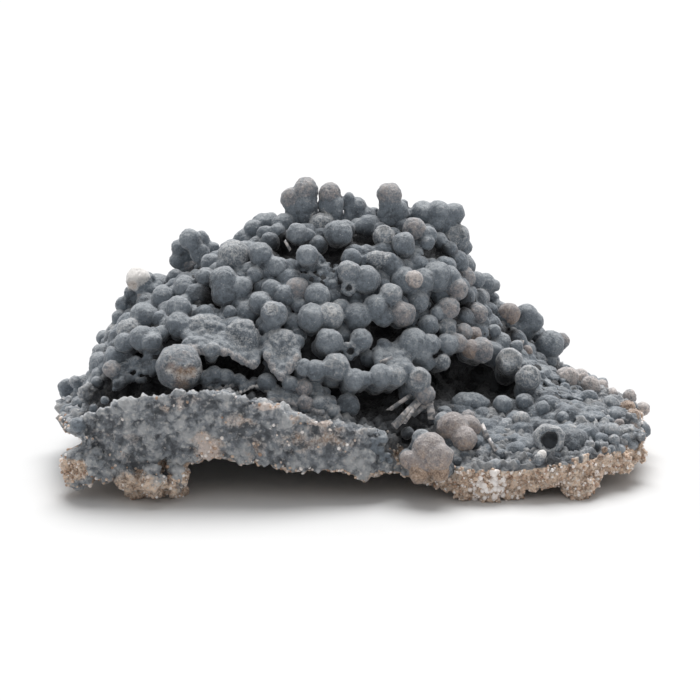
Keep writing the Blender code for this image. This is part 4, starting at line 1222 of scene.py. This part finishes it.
# %% A material
class Finish:
    """A material whose nodes are added one call at a time."""

    def __init__(self, name):
        self.material = bpy.data.materials.new(name)
        self.material.use_nodes = True
        self.tree = self.material.node_tree
        self.shader = self.tree.nodes["Principled BSDF"]

    def add(self, kind, settings=None, output=0, **sockets):
        """Adds a node: its kind, its settings, and its sockets by name, or by number as _0, _1."""
        node = self.tree.nodes.new("ShaderNode" + kind)
        for name, value in (settings or {}).items():
            setattr(node, name, value)
        for name, value in sockets.items():
            which = int(name[1:]) if name[0] == "_" else name.replace("_", " ")
            plug(self.tree, node.inputs[which], value)
        return Amount(self.tree, node.outputs[output])

    def attribute(self, name):
        return self.add("Attribute", {"attribute_name": name}, output="Fac")

    def places(self):
        """Where a point is on the stone, in millimetres."""
        here = self.add("TexCoord", output="Object")
        return self.add("VectorMath", {"operation": "SCALE"}, _0=here, Scale=1 / MM)

    def noise(self, width, detail=3, roughness=0.55):
        return self.add(
            "TexNoise", output="Fac", Vector=self.places(),
            Scale=1 / width, Detail=detail, Roughness=roughness,
        )

    def cells(self, width):
        """How far a point is from the nearest of many scattered points."""
        return self.add("TexVoronoi", output="Distance", Vector=self.places(), Scale=1 / width)

    def step(self, value, low, high):
        """0 below low, 1 above high, and smooth between them."""
        return self.add(
            "MapRange", {"interpolation_type": "SMOOTHSTEP"},
            _0=value, _1=low, _2=high, _3=0.0, _4=1.0,
        )

    def mix(self, amount, first, second):
        """The first colour where the amount is 0, the second where it's 1."""
        return self.add("Mix", {"data_type": "RGBA"}, output=2, _0=amount, _6=first, _7=second)

    def set(self, **sockets):
        for name, value in sockets.items():
            plug(self.tree, self.shader.inputs[name.replace("_", " ")], value)

    def bump(self, height, strength, distance):
        return self.add("Bump", Height=height, Strength=strength, Distance=distance * MM)


# %% A colour
def colour(red, green, blue):
    """A colour by its sRGB figures, 0 to 255, as the linear light that a shader wants."""
    parts = [part / 255 for part in (red, green, blue)]
    return tuple(p / 12.92 if p <= 0.04045 else ((p + 0.055) / 1.055) ** 2.4 for p in parts) + (1,)


print("mid grey as linear light:", round(colour(128, 128, 128)[0], 3))

# %% [markdown]
# ## The finish of the balls
#
# Chalcedony here is slate blue-grey under a skin of quartz crystals too small to see singly, which
# scatters light like frost. Balls differ a little from each other. Each is painted paler at its
# outer end, partly frost and partly painted light, and darker at its root, a painted shade. Upward
# faces get a painted light from above mixed with the frost, and each ball is stained first on its
# underside.
# One colour ramp would tie all of that to one number, so the tones are laid over each other one at
# a time.

# %% Chalcedony
# The hollow black is a painted shade deep in the hollows between the balls.
PAINTED_HOLLOW_SHADE, SLATE_DEEP, SLATE_DARK = colour(20, 19, 20), colour(40, 42, 45), colour(80, 87, 94)
SLATE, SLATE_PALE = colour(118, 127, 136), colour(156, 163, 170)
TAN, TAN_DARK, ROSY = colour(188, 162, 140), colour(140, 116, 98), colour(158, 146, 142)
ROSY_PALE = colour(206, 190, 182)
# The dusted grey is partly frost and partly a painted light on upward faces.
DUST_AND_TOP_LIGHT, FROST, WHITE = colour(174, 178, 181), colour(216, 213, 210), colour(238, 234, 230)
# Widths of the noise, in millimetres: broad, middle, fine, and the specks.
BALL_NOISE = (2.4, 0.9, 0.32, 0.6)
SHEEN = colour(230, 230, 232)


def chalcedony_finish():
    finish = Finish("chalcedony")
    names = ("ball", "outer", "deep", "relief")
    ball, outer, deep, relief = (finish.attribute(name) for name in names)
    stain, frost, shade = (finish.attribute(name) for name in ("stain", "frost", "shade"))
    up = finish.attribute("up")
    widths = BALL_NOISE
    broad, middle = finish.noise(widths[0]), finish.noise(widths[1], 4, 0.6)
    fine, specks = finish.noise(widths[2], 4, 0.7), finish.cells(widths[3])
    # The outer term is a painted light at each ball's outer end and a painted shade towards its
    # root.
    tone = outer * 0.5 + broad * 0.4 + middle * 0.6 + relief * 0.4 + ball * 0.3 + shade * 0.6 - 0.8
    base = finish.mix(finish.step(tone, 0.0, 0.45), SLATE_DARK, SLATE)
    base = finish.mix(finish.step(tone, 0.45, 0.95), base, SLATE_PALE)
    grainy = middle * 0.6 + fine * 0.6
    # Upward faces lighter: partly a dust of frost and partly a painted light from above.
    dust_and_top_light = finish.step(up * 0.7 + grainy + frost * 0.2 + shade * 0.5, 0.8, 1.35)
    base = finish.mix(dust_and_top_light * 0.5, base, DUST_AND_TOP_LIGHT)
    # Painted shade: deep slate towards each ball's root, where it sits among the others.
    base = finish.mix(finish.step(outer + broad * 0.3, 0.3, 0.8), SLATE_DEEP, base)
    rosy = finish.step(stain + middle * 0.8 + fine * 0.5 + outer * 0.2, 0.95, 1.35)
    blush = finish.mix(finish.step(shade, 0.15, 0.6), ROSY, ROSY_PALE)
    base = finish.mix(rosy * 0.8, base, blush)
    tan = finish.step(stain + stain * (1 - up) * 0.4 + middle * 0.8, 0.95, 1.45)
    sandy = finish.mix(finish.step(fine + middle, 0.8, 1.15), TAN_DARK, TAN)
    base = finish.mix(tan * 0.9, base, sandy)
    pits = 1 - finish.step(fine * 1.2 + middle * 0.6, 0.65, 0.95)
    base = finish.mix(pits * 0.4, base, SLATE_DEEP)
    grains = finish.step(fine + middle * 0.5 + frost * 0.3 + up * 0.05, 0.88, 1.15)
    base = finish.mix(grains * 0.6, base, FROST)
    glints = finish.step(1 - specks * 1.8 + frost * 0.3, 0.62, 0.85)
    glints = glints * finish.step(middle, 0.45, 0.6)
    base = finish.mix(glints * 0.5, base, FROST)
    # White frost, stronger on upward faces: partly frost and partly a painted light from above.
    base = finish.mix(finish.step(frost + up * 0.5 + fine * 0.4, 1.4, 1.9), base, WHITE)
    # Painted shade inside a broken ball's hollow, where shade is below -0.7: only the hole finish.
    base = finish.mix(finish.step(0 - shade, 0.7, 1.1) * 0.7, base, SLATE_DEEP)
    # Painted shade, near black, deep in the hollows.
    base = finish.mix(deep * 0.95, base, PAINTED_HOLLOW_SHADE)
    finish.set(
        Base_Color=base,
        Roughness=0.6 - glints * 0.2,
        Sheen_Weight=0.5,
        Sheen_Roughness=0.4,
        Sheen_Tint=SHEEN,
        Specular_IOR_Level=0.4,
        Normal=finish.bump(fine * 0.9 - specks * 0.5 + middle * 0.7, 0.8, 0.3),
    )
    return finish.material


chalcedony = chalcedony_finish()
print("chalcedony:", len(chalcedony.node_tree.nodes), "nodes")

# %% [markdown]
# ## The finish of the crust
#
# The crust is the same grey stained tan by iron where the matrix shows. Whatever stands out is
# painted lighter and its pits darker, partly a dusting of frost and partly painted light and shade.
# How far a point stands out was kept as its relief when the crust was roughened.

# %% Matrix
MATRIX_DARK, MATRIX = colour(98, 102, 107), colour(142, 147, 153)
# The cream is partly pale crystals and partly a painted highlight.
MATRIX_PALE, CREAM_AND_HIGHLIGHT = colour(184, 186, 188), colour(228, 214, 206)
SAND_DARK, SAND, SAND_PALE = colour(150, 126, 108), colour(240, 216, 194), colour(238, 228, 218)
ROSE_GREY, ROSE_TAN, ROSE_PALE = colour(170, 163, 161), colour(184, 160, 142), colour(218, 212, 208)
# The two sheltered greys are a painted shade on the crust under the balls.
SHADE_UNDER_BALLS_DARK, SHADE_UNDER_BALLS = colour(26, 26, 28), colour(62, 64, 67)
# Widths of the noise, in millimetres: broad, blotches, middle, fine, and the cells of the frost.
MATRIX_NOISE = (5.0, 2.2, 1.1, 0.4, 0.9)


def matrix_finish():
    finish = Finish("matrix")
    names = ("stain", "pale", "deep", "relief")
    stain, pale, deep, relief = (finish.attribute(name) for name in names)
    widths = MATRIX_NOISE
    broad, blotch = finish.noise(widths[0]), finish.noise(widths[1], 3, 0.6)
    middle, fine = finish.noise(widths[2], 4, 0.65), finish.noise(widths[3], 4, 0.7)
    cells = finish.cells(widths[4])
    # Tone by relief: raised grains lighter and pits darker, partly frost and partly painted light
    # and shade.
    tone = relief * 1.3 + middle * 0.7 + fine * 0.5 - 0.3
    base = finish.mix(finish.step(tone, 0.65, 1.0), MATRIX_DARK, MATRIX)
    base = finish.mix(finish.step(tone + broad * 0.2, 1.0, 1.3), base, MATRIX_PALE)
    tan = finish.mix(finish.step(middle, 0.35, 0.6), SAND_DARK, SAND)
    tan = finish.mix(finish.step(fine, 0.5, 0.7), tan, SAND_PALE)
    base = finish.mix(finish.step(stain + broad * 0.4 + middle * 0.6, 0.9, 1.2), base, tan)
    rosy = finish.mix(finish.step(broad, 0.45, 0.55), ROSE_GREY, ROSE_TAN)
    rosy = finish.mix(finish.step(fine, 0.45, 0.65), rosy, ROSE_PALE)
    blotches = pale * 0.6 + blotch * 1.1 + middle * 0.4 + fine * 0.4
    base = finish.mix(finish.step(blotches, 1.25, 1.6) * 0.85, base, rosy)
    # Cream where the pale patches are strongest: partly pale crystals and partly a painted
    # highlight.
    cream = finish.step(pale + middle * 0.7 + fine * 0.5, 1.45, 1.75)
    base = finish.mix(cream * 0.9, base, CREAM_AND_HIGHLIGHT)
    # White specks: partly frost and partly painted glints of small crystals.
    frost = finish.step(1 - cells * 1.3 + fine * 0.7, 0.72, 1.05) * finish.step(middle, 0.42, 0.58)
    base = finish.mix(frost * 0.6, base, FROST)
    # Painted shade on the crust under the balls, wherever it isn't open.
    shade_under_balls = finish.mix(finish.step(tone, 0.7, 1.1), SHADE_UNDER_BALLS_DARK, SHADE_UNDER_BALLS)
    base = finish.mix(finish.attribute("open"), shade_under_balls, base)
    # Painted shade, near black, deep in the hollows.
    base = finish.mix(deep * 0.96, base, PAINTED_HOLLOW_SHADE)
    finish.set(
        Base_Color=base,
        Roughness=0.75 - frost * 0.2,
        Sheen_Weight=0.15,
        Sheen_Roughness=0.5,
        Specular_IOR_Level=0.35,
        Normal=finish.bump(middle * 0.8 + fine * 0.6 - cells * 0.6, 1.0, 0.5),
    )
    return finish.material


matrix = matrix_finish()
print("matrix:", len(matrix.node_tree.nodes), "nodes")

# %% [markdown]
# ## The finish of the druse
#
# Each grain is brown, tan or white by its own figure, with a little noise so that no two faces
# match. The chips carry a figure below 0, which turns them grey and cream instead.

# %% Druse
GRAIN_BROWN, GRAIN_TAN = colour(172, 142, 122), colour(222, 196, 174)
GRAIN_WHITE = colour(250, 245, 242)
CHIP_GREY, CHIP_CREAM = colour(124, 126, 130), colour(204, 198, 195)
QUARTZ_IOR = 1.54


def druse_finish():
    finish = Finish("druse")
    white, fine = finish.attribute("white"), finish.noise(0.5)
    base = finish.mix(finish.step(white + fine * 0.3, 0.2, 0.5), GRAIN_BROWN, GRAIN_TAN)
    base = finish.mix(finish.step(white + fine * 0.3, 0.5, 1.1), base, GRAIN_WHITE)
    chip = finish.mix(finish.step(finish.noise(1.2), 0.4, 0.6), CHIP_GREY, CHIP_CREAM)
    base = finish.mix(finish.step(white, -0.4, 0), chip, base)
    finish.set(Base_Color=base, Roughness=0.4 + fine * 0.2, IOR=QUARTZ_IOR)
    return finish.material


quartz = druse_finish()
print("druse:", len(quartz.node_tree.nodes), "nodes")

# %% Each piece gets its finish
ball_pieces = [show_left[0], show_right[0], between[0], back[0]]
pieces = ball_pieces + [crust_piece, druse]
for piece, finish in zip(pieces, [chalcedony] * len(ball_pieces) + [matrix, quartz]):
    piece.data.materials.clear()
    piece.data.materials.append(finish)
    print(piece.name, "wears", finish.name)

# %% [markdown]
# ## Into the shared frame
#
# Up to here each figure was in millimetres from the point that the outlines were drawn from. Now
# the pieces move to the middle of the solid's box and shrink to metres. Nothing may reach below the
# floor.

# %% Place the pieces
for piece in pieces:
    places = (coordinates(piece.data) - np.array(MIDDLE[:], np.float32)) * MM
    places[:, 2] = np.maximum(places[:, 2], 0)
    piece.data.shade_smooth()
    move_corners(piece.data, places)
    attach(piece, "root")
    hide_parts("chalcedony")
print(len(pieces), "pieces ride on the root body")

# %% [markdown]
# ## Floor and light
#
# The stone stands in a light tent: white all round, with a broad lamp overhead and a little behind,
# which leaves a soft shadow in front. The paper under it is pale but not white, so that it doesn't
# light the stone from below.

# %% Floor and lamp
TENT_LIGHT, LAMP_LIGHT, LAMP_SPREAD = 0.5, 3.8, math.radians(44)
LAMP_FROM = Vector((0.06, 0.6, 1))
PAPER_WIDTH, PAPER = 6, (0.66, 0.66, 0.66, 1)


def studio():
    world = bpy.data.worlds.new("tent")
    bpy.context.scene.world = world
    world.use_nodes = True
    background = world.node_tree.nodes["Background"]
    background.inputs["Color"].default_value = (1, 1, 1, 1)
    background.inputs["Strength"].default_value = TENT_LIGHT
    lamp = bpy.data.objects.new("lamp", bpy.data.lights.new("lamp", "SUN"))
    bpy.context.scene.collection.objects.link(lamp)
    lamp.data.energy, lamp.data.angle = LAMP_LIGHT, LAMP_SPREAD
    lamp.rotation_euler = LAMP_FROM.to_track_quat("Z", "Y").to_euler()
    bpy.ops.mesh.primitive_plane_add(size=PAPER_WIDTH)
    floor = bpy.context.object
    floor.name = "floor"
    paper = Finish("paper")
    paper.set(Base_Color=PAPER, Roughness=0.8)
    floor.data.materials.append(paper.material)
    print("floor", PAPER_WIDTH, "m wide, lamp of strength", LAMP_LIGHT)


studio()
bpy.context.scene.view_settings.view_transform = "Standard"
